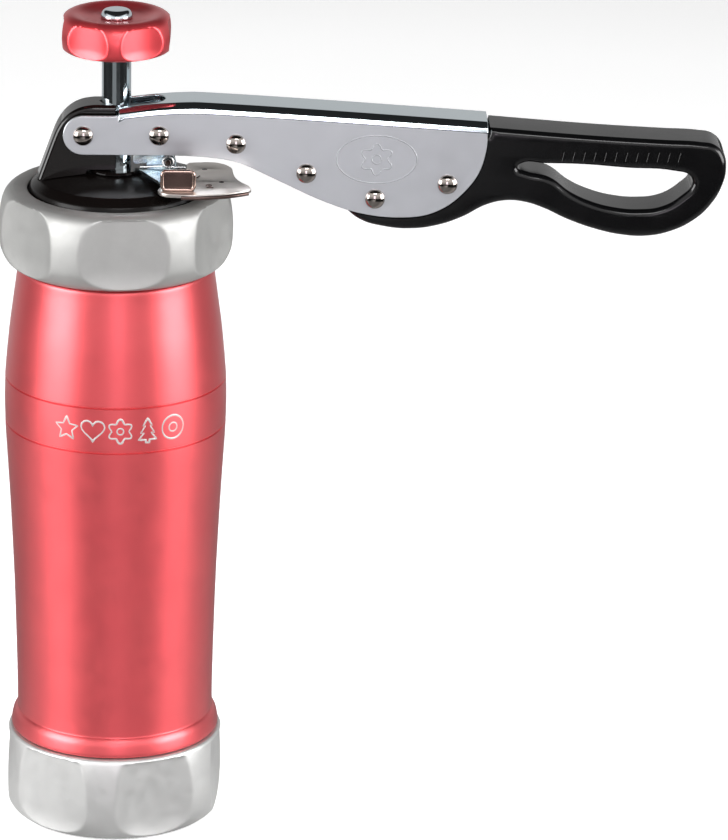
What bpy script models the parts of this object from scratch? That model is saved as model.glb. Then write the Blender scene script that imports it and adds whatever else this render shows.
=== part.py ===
"""Hand-lever cookie press: a turned barrel between two scalloped ring nuts, a pressed
steel cap with a lever bracket, a ratchet plunger and a steel channel lever.

Every length below is in millimetres and is turned into metres by the helpers. Heights
are measured from the plane that the press stands on, and x and y from the barrel's axis,
with the lever pointing along +X."""

import math

import bmesh
import bpy
from mathutils import Vector

MM = 0.001
GAP = 0.3                    # clearance between pieces that touch
FIT = 0.15                   # radial clearance of a rivet in its hole

# The barrel's axis, seen from the middle of the whole press's length.
AXIS_X = -67.5

# Barrel and its two ring nuts
BORE_RADIUS = 25.0
BELLY_RADIUS = 30.75
WAIST_RADIUS = 27.36
FOOT_FLARE_RADIUS = 29.1
TOP_THREAD_RADIUS = 26.4
FOOT_THREAD_RADIUS = 26.2
BARREL_BOTTOM = 4.4
BARREL_TOP = 180.0
FOOT_SHOULDER = 24.9         # underside of the barrel's flare
BAND_BOTTOM = 115.7          # engraved band between two fine grooves
BAND_TOP = 128.7
GROOVE_WIDTH = 0.6
GROOVE_DEPTH = 0.35
UPPER_NUT_RADIUS = 32.2
UPPER_NUT_BOTTOM = 161.6
UPPER_NUT_TOP = 183.0
UPPER_NUT_LIP_RADIUS = 24.5
UPPER_NUT_BORE = 27.2
LOWER_NUT_RADIUS = 31.2
LOWER_NUT_TOP = 24.6
LOWER_NUT_BORE = 26.9
LOWER_NUT_LIP_RADIUS = 23.5
LOWER_NUT_LIP = 2.2
SCALLOPS = 6
SCALLOP_HALF_ANGLE = math.radians(22.5)
UPPER_SCALLOP_PHASE = math.radians(-85.0)
LOWER_SCALLOP_PHASE = math.radians(-66.5)
ROUND_STEPS = 48

# Die disc
DIE_RADIUS = 26.4
DIE_BOTTOM = 2.5
DIE_TOP = 4.1
DIE_PETALS = 6
PETAL_WIDTH = 3.4
PETAL_LENGTH = 10.5
PETAL_MIDDLE_RADIUS = 11.0

# Plunger
ROD_RADIUS = 4.05
PISTON_BOTTOM = 19.0
PISTON_TOP = 25.8
PISTON_HUB_TOP = 29.0
PISTON_RADIUS = 24.2
SEAL_RADIUS = 24.8
SEAL_BOTTOM = 21.2
SEAL_TOP = 24.6
SEAL_ROOT = 22.0
ROD_TOP = 221.5
TOOTH_PITCH = 4.0
TOOTH_COUNT = 41
FIRST_TOOTH = 34.0
TOOTH_ROOT = 2.9
TOOTH_TIP = 3.75
KNOB_RADIUS = 16.0
KNOB_BOTTOM = 221.8
KNOB_TOP = 232.3
KNOB_SCALLOP_HALF_ANGLE = math.radians(23.5)

# Cap: a shallow pressed dome
CAP_HOLE = 6.8
DOME_TOP = 188.0
DOME_FALL = 0.0048           # the dome drops by this times the radius squared
CAP_SHEET = 1.2
FLANGE_TOP = 181.6
FLANGE_BOTTOM = 180.3
FLANGE_RADIUS = 26.2
GUIDE_FLANGE_TOP = 188.8

# Lever bracket: a narrow pressed channel standing on the cap
BRACKET_HALF_WIDTH = 5.3
BRACKET_INNER_HALF_WIDTH = 4.4
BRACKET_SHEET = 1.3
BRACKET_TOP = 207.3
ROD_HOLE_RADIUS = 4.3

# Lever: a channel bent from steel sheet, open below
PIVOT = (-9.0, 199.5)
PAWL_PIVOT = (11.7, 199.7)
SPACER = (32.7, 197.5)
GRIP_RIVETS = ((52.0, 189.3), (70.9, 182.2), (90.7, 186.5))
LEVER_HALF_WIDTH = 7.5
LEVER_SHEET = 1.2
FOLD_RADIUS = 2.7
FORK_TOP = 205.0
FORK_END_RADIUS = 5.5
WEB_START = 0.7
WEB_END = 101.5
ROD_SLOT_HALF_WIDTH = 4.3
ROD_SLOT_END = 13.4
MOUTH_HALF_WIDTH = 5.65      # the slot widens here to swing past the bracket's top
RIVET_RADIUS = 1.9
RIVET_HEAD_RADIUS = 2.75
RIVET_HEAD_HEIGHT = 1.5
GRIP_HALF_WIDTH = 7.4
GRIP_CORE_HALF_WIDTH = 6.0

# Pawls and their bracket
HOLD_PIVOT = (14.2, 191.6)
DRIVE_HALF_WIDTH = 3.1
HOLD_HALF_WIDTH = 2.6
EAR_INNER = 2.9
EAR_OUTER = 3.8
PIN_RADIUS = 0.9

# Dose regulator
REGULATOR_PIVOT = (17.2, -10.0)
REGULATOR_BOTTOM = 187.1
REGULATOR_TOP = 188.1
LIP_BOTTOM = 186.3
TAB_TOP = 194.2


# ---------------------------------------------------------------- scene and materials

def clear_scene():
    for old in list(bpy.data.objects):
        bpy.data.objects.remove(old, do_unlink=True)


def new_collection(name):
    collection = bpy.data.collections.new(name)
    bpy.context.scene.collection.children.link(collection)
    return collection


def new_material(name, colour, roughness, metallic):
    material = bpy.data.materials.new(name)
    material.use_nodes = True
    shader = material.node_tree.nodes["Principled BSDF"]
    shader.inputs["Base Color"].default_value = (*colour, 1.0)
    shader.inputs["Roughness"].default_value = roughness
    shader.inputs["Metallic"].default_value = metallic
    material.diffuse_color = (*colour, 1.0)
    return material


clear_scene()
PARTS = new_collection("cookie_press")
CUTTERS = new_collection("cutters")
RED = new_material("red_anodised", (0.62, 0.06, 0.08), 0.34, 0.8)
SILVER = new_material("satin_aluminium", (0.68, 0.68, 0.68), 0.42, 1.0)
CHROME = new_material("chrome", (0.78, 0.79, 0.80), 0.12, 1.0)
NICKEL = new_material("nickel", (0.62, 0.57, 0.52), 0.25, 1.0)
ZINC = new_material("zinc_plate", (0.60, 0.68, 0.72), 0.30, 1.0)
BLACK_STEEL = new_material("black_enamel", (0.012, 0.011, 0.011), 0.12, 0.0)
BLACK_PLASTIC = new_material("black_plastic", (0.014, 0.014, 0.014), 0.22, 0.0)
SEAL_PLASTIC = new_material("seal_plastic", (0.75, 0.74, 0.70), 0.5, 0.0)
SPRING_STEEL = new_material("spring_steel", (0.55, 0.55, 0.56), 0.3, 1.0)

PLACES = {}


def new_axis(name, at, parent=None):
    """An empty at a point of the press, on the axis that its pieces turn or slide on."""
    empty = bpy.data.objects.new(name, None)
    empty.empty_display_size = 10 * MM
    PARTS.objects.link(empty)
    place(empty, at, parent)
    PLACES[name] = Vector(at)
    return empty


def place(item, at, parent):
    """Put an object at a point of the press, under a parent that isn't rotated."""
    if parent is None:
        item.location = Vector(at) * MM
        return
    item.parent = parent
    item.location = (Vector(at) - PLACES[parent.name]) * MM


def new_object(name, data, material, parent, at=(0, 0, 0), rotation=(0, 0, 0),
               collection=PARTS):
    item = bpy.data.objects.new(name, data)
    collection.objects.link(item)
    place(item, at, parent)
    item.rotation_euler = rotation
    if material:
        data.materials.append(material)
    if collection is CUTTERS:
        item.hide_render = True
        item.display_type = 'WIRE'
    return item


# ---------------------------------------------------------------- shapes

def turned(name, profile, material, parent, at=(0, 0, 0), rotation=(0, 0, 0),
           steps=ROUND_STEPS, ring=False, collection=PARTS):
    """A solid of revolution about local Z. The profile is (radius, height) pairs, down
    the outer side. A ring's profile closes on itself, any other ends on the axis."""
    mesh = bpy.data.meshes.new(name)
    points = [(radius * MM, 0.0, height * MM) for radius, height in profile]
    edges = [(i, i + 1) for i in range(len(points) - 1)]
    if ring:
        edges.append((len(points) - 1, 0))
    mesh.from_pydata(points, edges, [])
    item = new_object(name, mesh, material, parent, at, rotation, collection)
    screw = item.modifiers.new("turn", 'SCREW')
    screw.steps = steps
    screw.render_steps = steps
    screw.use_merge_vertices = True
    screw.merge_threshold = 0.00001
    return item


def flat_curve(name, outlines, half_thickness, rounding=0.0, smooth=()):
    """A filled 2D curve. Outline points are (x, y); the outlines whose number is in
    smooth are rounded through their points, the others have straight sides."""
    curve = bpy.data.curves.new(name, 'CURVE')
    curve.dimensions = '2D'
    curve.fill_mode = 'BOTH'
    curve.extrude = (half_thickness - rounding) * MM
    curve.bevel_depth = rounding * MM
    curve.bevel_resolution = 1
    curve.offset = -rounding * MM
    curve.resolution_u = 2
    for number, outline in enumerate(outlines):
        spline = curve.splines.new('BEZIER')
        spline.use_cyclic_u = True
        spline.bezier_points.add(len(outline) - 1)
        for point, spot in zip(spline.bezier_points, outline):
            point.co = (spot[0] * MM, spot[1] * MM, 0.0)
            corner = number not in smooth or len(spot) > 2
            handle = 'VECTOR' if corner else 'AUTO'
            point.handle_left_type = handle
            point.handle_right_type = handle
    return curve


def plate(name, outlines, half_thickness, material, parent, at=(0, 0, 0),
          rotation=(0, 0, 0), rounding=0.0, smooth=(), collection=PARTS):
    """A flat outline with a thickness, as a closed mesh."""
    curve = flat_curve(name, outlines, half_thickness, rounding, smooth)
    drawn = bpy.data.objects.new(name, curve)
    bpy.context.scene.collection.objects.link(drawn)
    bpy.context.view_layer.update()
    graph = bpy.context.evaluated_depsgraph_get()
    mesh = bpy.data.meshes.new_from_object(drawn.evaluated_get(graph))
    bpy.data.objects.remove(drawn, do_unlink=True)
    form = bmesh.new()
    form.from_mesh(mesh)
    bmesh.ops.remove_doubles(form, verts=form.verts, dist=0.000002)
    bmesh.ops.recalc_face_normals(form, faces=form.faces)
    form.to_mesh(mesh)
    form.free()
    mesh.materials.clear()
    return new_object(name, mesh, material, parent, at, rotation, collection)


UPRIGHT = (math.pi / 2, 0.0, 0.0)    # turns an outline drawn in x, y to stand in x, z


def circle_points(centre, radius, count):
    return [(centre[0] + radius * math.cos(2 * math.pi * i / count),
             centre[1] + radius * math.sin(2 * math.pi * i / count))
            for i in range(count)]


def arc_points(centre, radius, start, end, count):
    """Points along an arc, from the start angle to the end angle in degrees."""
    spots = []
    for i in range(count + 1):
        angle = math.radians(start + (end - start) * i / count)
        spots.append((centre[0] + radius * math.cos(angle),
                      centre[1] + radius * math.sin(angle)))
    return spots


def bar_cutter(name, radius, length, at, parent, across=False, sides=20):
    """A round cutter along Z, or along Y when it goes across."""
    form = bmesh.new()
    bmesh.ops.create_cone(form, cap_ends=True, segments=sides, radius1=radius * MM,
                          radius2=radius * MM, depth=length * MM)
    mesh = bpy.data.meshes.new(name)
    form.to_mesh(mesh)
    form.free()
    rotation = UPRIGHT if across else (0, 0, 0)
    return new_object(name, mesh, None, parent, at, rotation, CUTTERS)


def combine(item, other, operation='DIFFERENCE'):
    modifier = item.modifiers.new(operation.lower(), 'BOOLEAN')
    modifier.operation = operation
    modifier.object = other
    modifier.solver = 'EXACT'


def shade_round(item, angle=35.0):
    item.data.shade_smooth()
    item.data.set_sharp_from_angle(angle=math.radians(angle))


# ---------------------------------------------------------------- barrel and ring nuts

def scallop_cutter(name, radius, half_angle, hollow, bottom, top, phase, parent):
    """Six blocks round the axis, whose inner faces are shallow hollows. They cut the
    flat finger grips of the ring nuts and the knob."""
    half_chord = radius * math.sin(half_angle)
    chord = radius * math.cos(half_angle)
    centre = chord + math.sqrt(hollow ** 2 - half_chord ** 2)
    reach = half_angle * 1.12
    half_turn = math.asin(min(1.0, radius * math.sin(reach) / hollow))
    start = 180.0 - math.degrees(half_turn)
    outline = arc_points((centre, 0.0), hollow, start, 360.0 - start, 6)
    outline += [(radius * 1.15, outline[-1][1]), (radius * 1.15, outline[0][1])]
    whole = None
    for number in range(SCALLOPS):
        turn = (0, 0, phase + 2 * math.pi * number / SCALLOPS)
        block = plate(f"{name}_{number}", [outline], (top - bottom) / 2, None, parent,
                      (0, 0, (top + bottom) / 2), turn, collection=CUTTERS)
        if whole is None:
            whole = block
        else:
            combine(whole, block, 'UNION')
    return whole


def nut_side(radius, bottom, top, corner, inset, count=5):
    """The outer side of a ring nut, top to bottom: a barrelled wall between two
    elliptical corners. corner is their height and inset how far they come in."""
    side = []
    for i in range(count + 1):
        angle = math.pi / 2 * i / count
        side.append((radius - inset + inset * math.sin(angle) * 0.97,
                     top - corner + corner * math.cos(angle)))
    side.append((radius, (top + bottom) / 2))
    for i in range(count + 1):
        angle = math.pi / 2 * (1 - i / count)
        side.append((radius - inset + inset * math.sin(angle) * 0.97,
                     bottom + corner - corner * math.cos(angle)))
    return side


def make_lower_nut(parent):
    profile = [(LOWER_NUT_BORE, LOWER_NUT_TOP), (29.4, LOWER_NUT_TOP), (30.0, 23.6),
               (30.7, 18.5), (LOWER_NUT_RADIUS, 12.0), (31.1, 7.0), (30.6, 4.2),
               (29.8, 2.2), (28.7, 0.8), (27.3, 0.0),
               (LOWER_NUT_LIP_RADIUS, 0.0), (LOWER_NUT_LIP_RADIUS, LOWER_NUT_LIP),
               (LOWER_NUT_BORE, LOWER_NUT_LIP)]
    nut = turned("lower_ring_nut", profile, SILVER, parent, ring=True)
    blocks = scallop_cutter("lower_scallops", LOWER_NUT_RADIUS, SCALLOP_HALF_ANGLE, 110.0,
                            -5.0, 30.0, LOWER_SCALLOP_PHASE, parent)
    combine(nut, blocks)
    shade_round(nut)


def make_upper_nut(parent):
    side = nut_side(UPPER_NUT_RADIUS, UPPER_NUT_BOTTOM, UPPER_NUT_TOP, 8.0, 4.0)
    profile = [(UPPER_NUT_LIP_RADIUS, UPPER_NUT_TOP)] + side
    profile += [(UPPER_NUT_BORE, UPPER_NUT_BOTTOM), (UPPER_NUT_BORE, FLANGE_TOP + GAP),
                (UPPER_NUT_LIP_RADIUS, FLANGE_TOP + GAP)]
    nut = turned("upper_ring_nut", profile, SILVER, parent, ring=True)
    blocks = scallop_cutter("upper_scallops", UPPER_NUT_RADIUS, SCALLOP_HALF_ANGLE, 110.0,
                            155.0, 190.0, UPPER_SCALLOP_PHASE, parent)
    combine(nut, blocks)
    shade_round(nut)


def groove(height):
    """A fine V groove in the barrel, top to bottom."""
    rim = BELLY_RADIUS - 0.12
    return [(rim, height + GROOVE_WIDTH / 2), (rim - GROOVE_DEPTH, height),
            (rim, height - GROOVE_WIDTH / 2)]


def make_barrel(parent):
    upper = [(TOP_THREAD_RADIUS - 0.5, BARREL_TOP), (TOP_THREAD_RADIUS, BARREL_TOP - 0.6),
             (TOP_THREAD_RADIUS, 164.4), (26.7, 163.2), (27.45, 157.4), (28.44, 150.0),
             (29.3, 143.5), (30.05, 136.0), (30.5, 131.0)]
    band = groove(BAND_TOP) + [(BELLY_RADIUS, 122.2)] + groove(BAND_BOTTOM)
    waist = [(30.45, 111.5), (30.05, 105.0), (29.4, 94.0), (28.75, 81.0), (28.2, 68.0),
             (27.8, 54.5), (27.5, 42.5), (WAIST_RADIUS, 34.5), (27.55, 31.4),
             (28.3, 28.7), (28.9, 26.6), (FOOT_FLARE_RADIUS, 25.4),
             (FOOT_FLARE_RADIUS, FOOT_SHOULDER)]
    foot = [(FOOT_THREAD_RADIUS, FOOT_SHOULDER), (FOOT_THREAD_RADIUS, BARREL_BOTTOM + 0.5),
            (FOOT_THREAD_RADIUS - 0.5, BARREL_BOTTOM), (BORE_RADIUS, BARREL_BOTTOM),
            (BORE_RADIUS, BARREL_TOP)]
    barrel = turned("barrel", upper + band + waist + foot, RED, parent, ring=True)
    shade_round(barrel, 25.0)


def make_die(parent):
    """A pressed disc with a flower of slots that the dough comes out through."""
    rim = 0.3
    profile = [(0.0, DIE_TOP), (DIE_RADIUS - rim, DIE_TOP), (DIE_RADIUS, DIE_TOP - rim),
               (DIE_RADIUS, DIE_BOTTOM + rim), (DIE_RADIUS - rim, DIE_BOTTOM),
               (0.0, DIE_BOTTOM)]
    disc = turned("die_disc", profile, SILVER, parent, steps=48)
    half = PETAL_LENGTH / 2 - PETAL_WIDTH / 2
    outline = arc_points((half, 0.0), PETAL_WIDTH / 2, -90, 90, 5)
    outline += arc_points((-half, 0.0), PETAL_WIDTH / 2, 90, 270, 5)
    middle = (DIE_TOP + DIE_BOTTOM) / 2
    for number in range(DIE_PETALS):
        angle = 2 * math.pi * number / DIE_PETALS
        at = (PETAL_MIDDLE_RADIUS * math.cos(angle),
              PETAL_MIDDLE_RADIUS * math.sin(angle), middle)
        petal = plate(f"petal_{number}", [outline], 2.0, None, parent, at,
                      (0, 0, angle), collection=CUTTERS)
        combine(disc, petal)
    shade_round(disc)


# ---------------------------------------------------------------- plunger

def make_piston(parent):
    profile = [(8.0, PISTON_HUB_TOP), (9.2, 27.0), (22.5, PISTON_TOP),
               (PISTON_RADIUS, PISTON_TOP - 0.4), (PISTON_RADIUS, SEAL_TOP + GAP),
               (SEAL_ROOT - GAP, SEAL_TOP + GAP), (SEAL_ROOT - GAP, SEAL_BOTTOM - GAP),
               (PISTON_RADIUS, SEAL_BOTTOM - GAP), (PISTON_RADIUS, PISTON_BOTTOM + 0.6),
               (PISTON_RADIUS - 0.6, PISTON_BOTTOM), (6.3, PISTON_BOTTOM), (6.3, 22.6),
               (2.4, 22.6), (2.4, PISTON_HUB_TOP)]
    piston = turned("piston_plate", profile, SILVER, parent, ring=True, steps=48)
    shade_round(piston)


def make_seal(parent):
    profile = [(SEAL_ROOT, SEAL_TOP), (SEAL_RADIUS - 0.6, SEAL_TOP),
               (SEAL_RADIUS, SEAL_TOP - 0.8), (SEAL_RADIUS, SEAL_BOTTOM + 0.8),
               (SEAL_RADIUS - 0.6, SEAL_BOTTOM), (SEAL_ROOT, SEAL_BOTTOM)]
    seal = turned("piston_seal", profile, SEAL_PLASTIC, parent, ring=True, steps=48)
    shade_round(seal)


def make_rod(parent):
    """The plunger rod, with a screw hole in each end and ratchet teeth on one side.
    In this pose the teeth face away from the pawls, so the rod is free."""
    bottom = PISTON_HUB_TOP + GAP
    hole = 2.3
    profile = [(hole, ROD_TOP), (ROD_RADIUS - 0.3, ROD_TOP), (ROD_RADIUS, ROD_TOP - 0.3),
               (ROD_RADIUS, bottom + 0.3), (ROD_RADIUS - 0.3, bottom), (hole, bottom),
               (hole, bottom + 12.0), (0.0, bottom + 13.0)]
    upper = [(0.0, ROD_TOP - 8.0), (hole, ROD_TOP - 7.0)]
    rod = turned("ratchet_rod", upper + profile, CHROME, parent, steps=24)
    comb = [(8.0, FIRST_TOOTH)]
    for number in range(TOOTH_COUNT):
        foot = FIRST_TOOTH + number * TOOTH_PITCH
        comb.append((TOOTH_TIP, foot))
        comb.append((TOOTH_ROOT, foot + 0.6))
    comb.append((TOOTH_TIP, FIRST_TOOTH + TOOTH_COUNT * TOOTH_PITCH))
    comb.append((8.0, FIRST_TOOTH + TOOTH_COUNT * TOOTH_PITCH))
    side = (math.pi / 2, 0.0, math.pi / 2)
    cutter = plate("rod_teeth", [comb], 6.0, None, parent, (0, 0, 0), side,
                   collection=CUTTERS)
    combine(rod, cutter)
    shade_round(rod)


def make_piston_screw(parent):
    top = PISTON_HUB_TOP + 11.0
    profile = [(0.0, top), (1.7, top), (2.05, top - 0.5), (2.05, 22.3), (5.6, 22.3),
               (5.9, 22.0), (5.9, 20.0), (5.0, 19.3), (2.0, 19.3), (2.0, 21.0),
               (0.0, 21.0)]
    screw = turned("piston_screw", profile, NICKEL, parent, steps=24)
    shade_round(screw)


def make_knob(parent):
    """A thick finger wheel with a dished top and six finger flats."""
    profile = [(2.35, 231.1), (4.8, 231.1), (7.5, 231.5), (9.8, 232.0),
               (11.6, KNOB_TOP), (13.0, 231.9), (14.5, 230.8), (15.6, 229.2),
               (KNOB_RADIUS, 227.2), (15.9, 225.6), (15.3, 224.0), (14.2, 222.7),
               (12.6, 222.0), (10.5, KNOB_BOTTOM), (2.35, KNOB_BOTTOM)]
    knob = turned("knob", profile, RED, parent, ring=True, steps=48)
    blocks = scallop_cutter("knob_scallops", KNOB_RADIUS, KNOB_SCALLOP_HALF_ANGLE, 24.0,
                            218.0, 236.0, math.radians(-61.5), parent)
    combine(knob, blocks)
    shade_round(knob)


def make_knob_screw(parent):
    """The domed screw that holds the knob on the rod."""
    dome = [(4.1 * math.sin(math.radians(a)), 231.6 + 1.7 * math.cos(math.radians(a)))
            for a in (0, 22, 44, 66, 86)]
    profile = dome + [(4.1, 231.4), (2.05, 231.4), (2.05, 215.6), (1.7, 215.1),
                      (0.0, 215.1)]
    screw = turned("knob_dome_screw", profile, CHROME, parent, steps=24)
    shade_round(screw)


# ---------------------------------------------------------------- cap and bracket

def dome_height(radius):
    return DOME_TOP - DOME_FALL * radius ** 2


def make_cap(parent):
    """The pressed dome, its rolled shoulder and the flange under the ring nut's lip."""
    top = [(r, dome_height(r)) for r in (CAP_HOLE, 11.0, 15.0, 18.0, 20.5)]
    shoulder = [(21.8, 185.5), (22.9, 184.8), (23.7, 183.8), (24.1, 182.6),
                (24.1, FLANGE_TOP)]
    flange = [(FLANGE_RADIUS, FLANGE_TOP), (FLANGE_RADIUS, FLANGE_BOTTOM),
              (22.9, FLANGE_BOTTOM), (22.9, 182.4), (22.3, 183.4), (21.3, 184.2)]
    under = [(r, dome_height(r) - CAP_SHEET) for r in (20.0, 17.0, 12.0, CAP_HOLE)]
    cap = turned("cap", top + shoulder + flange + under, BLACK_STEEL, parent, ring=True,
                 steps=48)
    hole = bar_cutter("regulator_rivet_hole", RIVET_RADIUS - 0.3 + FIT, 12.0,
                      (*REGULATOR_PIVOT, 186.0), parent)
    combine(cap, hole)
    shade_round(cap)


def make_rod_guide(parent):
    """The flanged bush that the rod slides through."""
    inner = ROD_RADIUS + 0.1
    flange_under = dome_height(CAP_HOLE) + GAP
    profile = [(inner, GUIDE_FLANGE_TOP), (7.2, GUIDE_FLANGE_TOP),
               (7.6, flange_under + 0.3), (7.6, flange_under), (6.4, flange_under),
               (6.4, 178.5), (6.0, 178.0), (inner, 178.0)]
    guide = turned("rod_guide", profile, NICKEL, parent, ring=True, steps=32)
    shade_round(guide)


def bracket_outline(inset):
    """The bracket's side, from the foot of its sloping back to its open front. The
    inset moves the back and top inwards by the sheet's thickness."""
    back = [(-21.2 + inset * 1.05, 186.3), (-16.6 + inset * 1.05, 199.6)]
    corner = [(-15.4 + inset, 202.6 - inset * 0.3), (-13.2 + inset * 0.7, 205.0 - inset * 0.7),
              (-10.6 + inset * 0.4, 206.7 - inset * 0.95)]
    top = [(-7.6, BRACKET_TOP - inset)]
    return back + corner + top


def make_bracket(parent):
    front = -0.2
    step = GUIDE_FLANGE_TOP + GAP
    feet = [(front, step), (-7.9, step)]
    feet += [(x, dome_height(math.hypot(x, BRACKET_INNER_HALF_WIDTH)) + GAP)
             for x in (-8.3, -11.0, -14.0, -17.0, -19.5)]
    outline = bracket_outline(0.0) + [(front, BRACKET_TOP)] + feet
    bracket = plate("lever_bracket", [outline], BRACKET_HALF_WIDTH, BLACK_STEEL, parent,
                    rotation=UPRIGHT, rounding=0.8)
    hollow = bracket_outline(BRACKET_SHEET)
    hollow[0] = (hollow[0][0] - 2.2, 180.0)
    hollow += [(5.0, BRACKET_TOP - BRACKET_SHEET), (5.0, 180.0)]
    inside = plate("bracket_inside", [hollow], BRACKET_INNER_HALF_WIDTH, None, parent,
                   rotation=UPRIGHT, collection=CUTTERS)
    combine(bracket, inside)
    combine(bracket, bar_cutter("bracket_rod_hole", ROD_HOLE_RADIUS, 20.0,
                                (0, 0, BRACKET_TOP), parent, sides=32))
    combine(bracket, bar_cutter("bracket_pivot_hole", RIVET_RADIUS + FIT, 20.0,
                                (PIVOT[0], 0, PIVOT[1]), parent, across=True))
    shade_round(bracket)


# ---------------------------------------------------------------- lever

def web_top(x):
    """Height of the lever's top face: it rises from the fork, then falls to the grip."""
    crown = 22.0
    if x < crown:
        return 208.6 - 1.9 * ((crown - x) / (crown - WEB_START)) ** 1.8
    fall = (x - crown) / (WEB_END - crown)
    return 208.6 - 4.9 * fall ** 1.12


def lever_side():
    """The side plate's outline: fork end, top edge under the fold, and the lower edge
    that swells into the grip's clamp."""
    end = arc_points(PIVOT, FORK_END_RADIUS, 270, 90, 10)
    step = [(WEB_START, FORK_TOP), (WEB_START, web_top(WEB_START) - FOLD_RADIUS)]
    top = [(x, web_top(x) - FOLD_RADIUS)
           for x in (5.0, 10.0, 15.0, 20.0, 26.0, 36.0, 50.0, 68.0, 86.0, WEB_END)]
    tail = [(101.4, 198.5), (100.5, 193.0), (98.8, 188.6), (96.2, 185.0), (92.4, 181.2),
            (88.0, 178.7), (83.2, 177.1), (77.0, 176.8), (70.5, 177.3), (63.3, 178.9),
            (54.8, 182.1), (46.8, 185.9), (40.8, 188.8), (35.8, 191.2), (31.5, 192.6),
            (26.5, 193.4), (20.0, 193.9), (13.0, 194.0)]
    return end + step + top + tail


def make_lever(parent):
    """Two side plates joined by a lofted web with rounded folds."""
    middle = LEVER_HALF_WIDTH - LEVER_SHEET / 2
    side = lever_side()
    lever = plate("lever_channel", [side], LEVER_SHEET / 2, CHROME, parent,
                  (0, -middle, 0), UPRIGHT)
    far_side = plate("lever_far_side", [side], LEVER_SHEET / 2, None, parent,
                     (0, middle, 0), UPRIGHT, collection=CUTTERS)
    combine(lever, far_side, 'UNION')
    combine(lever, make_web(parent), 'UNION')
    slot = [(-20.0, -MOUTH_HALF_WIDTH), (4.4, -MOUTH_HALF_WIDTH),
            (5.0, -ROD_SLOT_HALF_WIDTH)]
    slot += arc_points((ROD_SLOT_END - ROD_SLOT_HALF_WIDTH, 0.0), ROD_SLOT_HALF_WIDTH,
                       -90, 90, 10)
    slot += [(5.0, ROD_SLOT_HALF_WIDTH), (4.4, MOUTH_HALF_WIDTH),
             (-20.0, MOUTH_HALF_WIDTH)]
    combine(lever, plate("rod_slot", [slot], 10.0, None, parent, (0, 0, 208.0),
                         collection=CUTTERS))
    for number, spot in enumerate((PIVOT, PAWL_PIVOT, SPACER, *GRIP_RIVETS)):
        combine(lever, bar_cutter(f"lever_hole_{number}", RIVET_RADIUS + FIT, 20.0,
                                  (spot[0], 0, spot[1]), parent, across=True))
    shade_round(lever)


def make_web(parent):
    """The lever's top: a U-shaped section lofted along x, with its skirts lapping
    inside the side plates."""
    hair = 0.04
    half = LEVER_HALF_WIDTH - hair
    stations = [WEB_START + (WEB_END - WEB_START) * i / 14 for i in range(15)]
    form = bmesh.new()
    rows = []
    for x in stations:
        top = web_top(x)
        section = [(-half, top - FOLD_RADIUS - 0.9)]
        for i in range(5):
            angle = math.radians(180 - 22.5 * i)
            section.append((-half + FOLD_RADIUS + FOLD_RADIUS * math.cos(angle),
                            top - FOLD_RADIUS + FOLD_RADIUS * math.sin(angle)))
        section += [(-y, z) for y, z in reversed(section)]
        rows.append([form.verts.new((x * MM, y * MM, z * MM)) for y, z in section])
    for row, following in zip(rows, rows[1:]):
        for i in range(len(row) - 1):
            form.faces.new((row[i], following[i], following[i + 1], row[i + 1]))
    bmesh.ops.recalc_face_normals(form, faces=form.faces)
    form.faces.ensure_lookup_table()
    if sum(face.normal.z for face in form.faces) < 0:
        bmesh.ops.reverse_faces(form, faces=form.faces)
    mesh = bpy.data.meshes.new("lever_web")
    form.to_mesh(mesh)
    form.free()
    web = new_object("lever_web", mesh, None, parent, collection=CUTTERS)
    sheet = web.modifiers.new("sheet", 'SOLIDIFY')
    sheet.thickness = (LEVER_SHEET - 2 * hair) * MM
    sheet.offset = -1.0
    return web


def make_rivet(name, spot, parent, radius=RIVET_RADIUS, half_length=LEVER_HALF_WIDTH):
    """A rivet across the lever, with a domed head at each end."""
    seat = half_length + 0.1
    head = [(RIVET_HEAD_RADIUS * math.sin(math.radians(a)),
             seat + 0.2 + (RIVET_HEAD_HEIGHT - 0.2) * math.cos(math.radians(a)))
            for a in (0, 32, 62, 86)]
    head += [(RIVET_HEAD_RADIUS, seat), (radius, seat)]
    profile = head + [(r, -z) for r, z in reversed(head)]
    rivet = turned(name, profile, NICKEL, parent, (spot[0], 0, spot[1]), UPRIGHT, 16)
    shade_round(rivet)


def make_spacer(parent):
    """The tube on the spacer rivet that keeps the side plates apart."""
    half = LEVER_HALF_WIDTH - LEVER_SHEET - GAP
    bore = RIVET_RADIUS + FIT
    profile = [(bore, half), (3.3, half), (3.3, -half), (bore, -half)]
    tube = turned("spacer_tube", profile, ZINC, parent, (SPACER[0], 0, SPACER[1]),
                  UPRIGHT, 24, ring=True)
    shade_round(tube)


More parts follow.
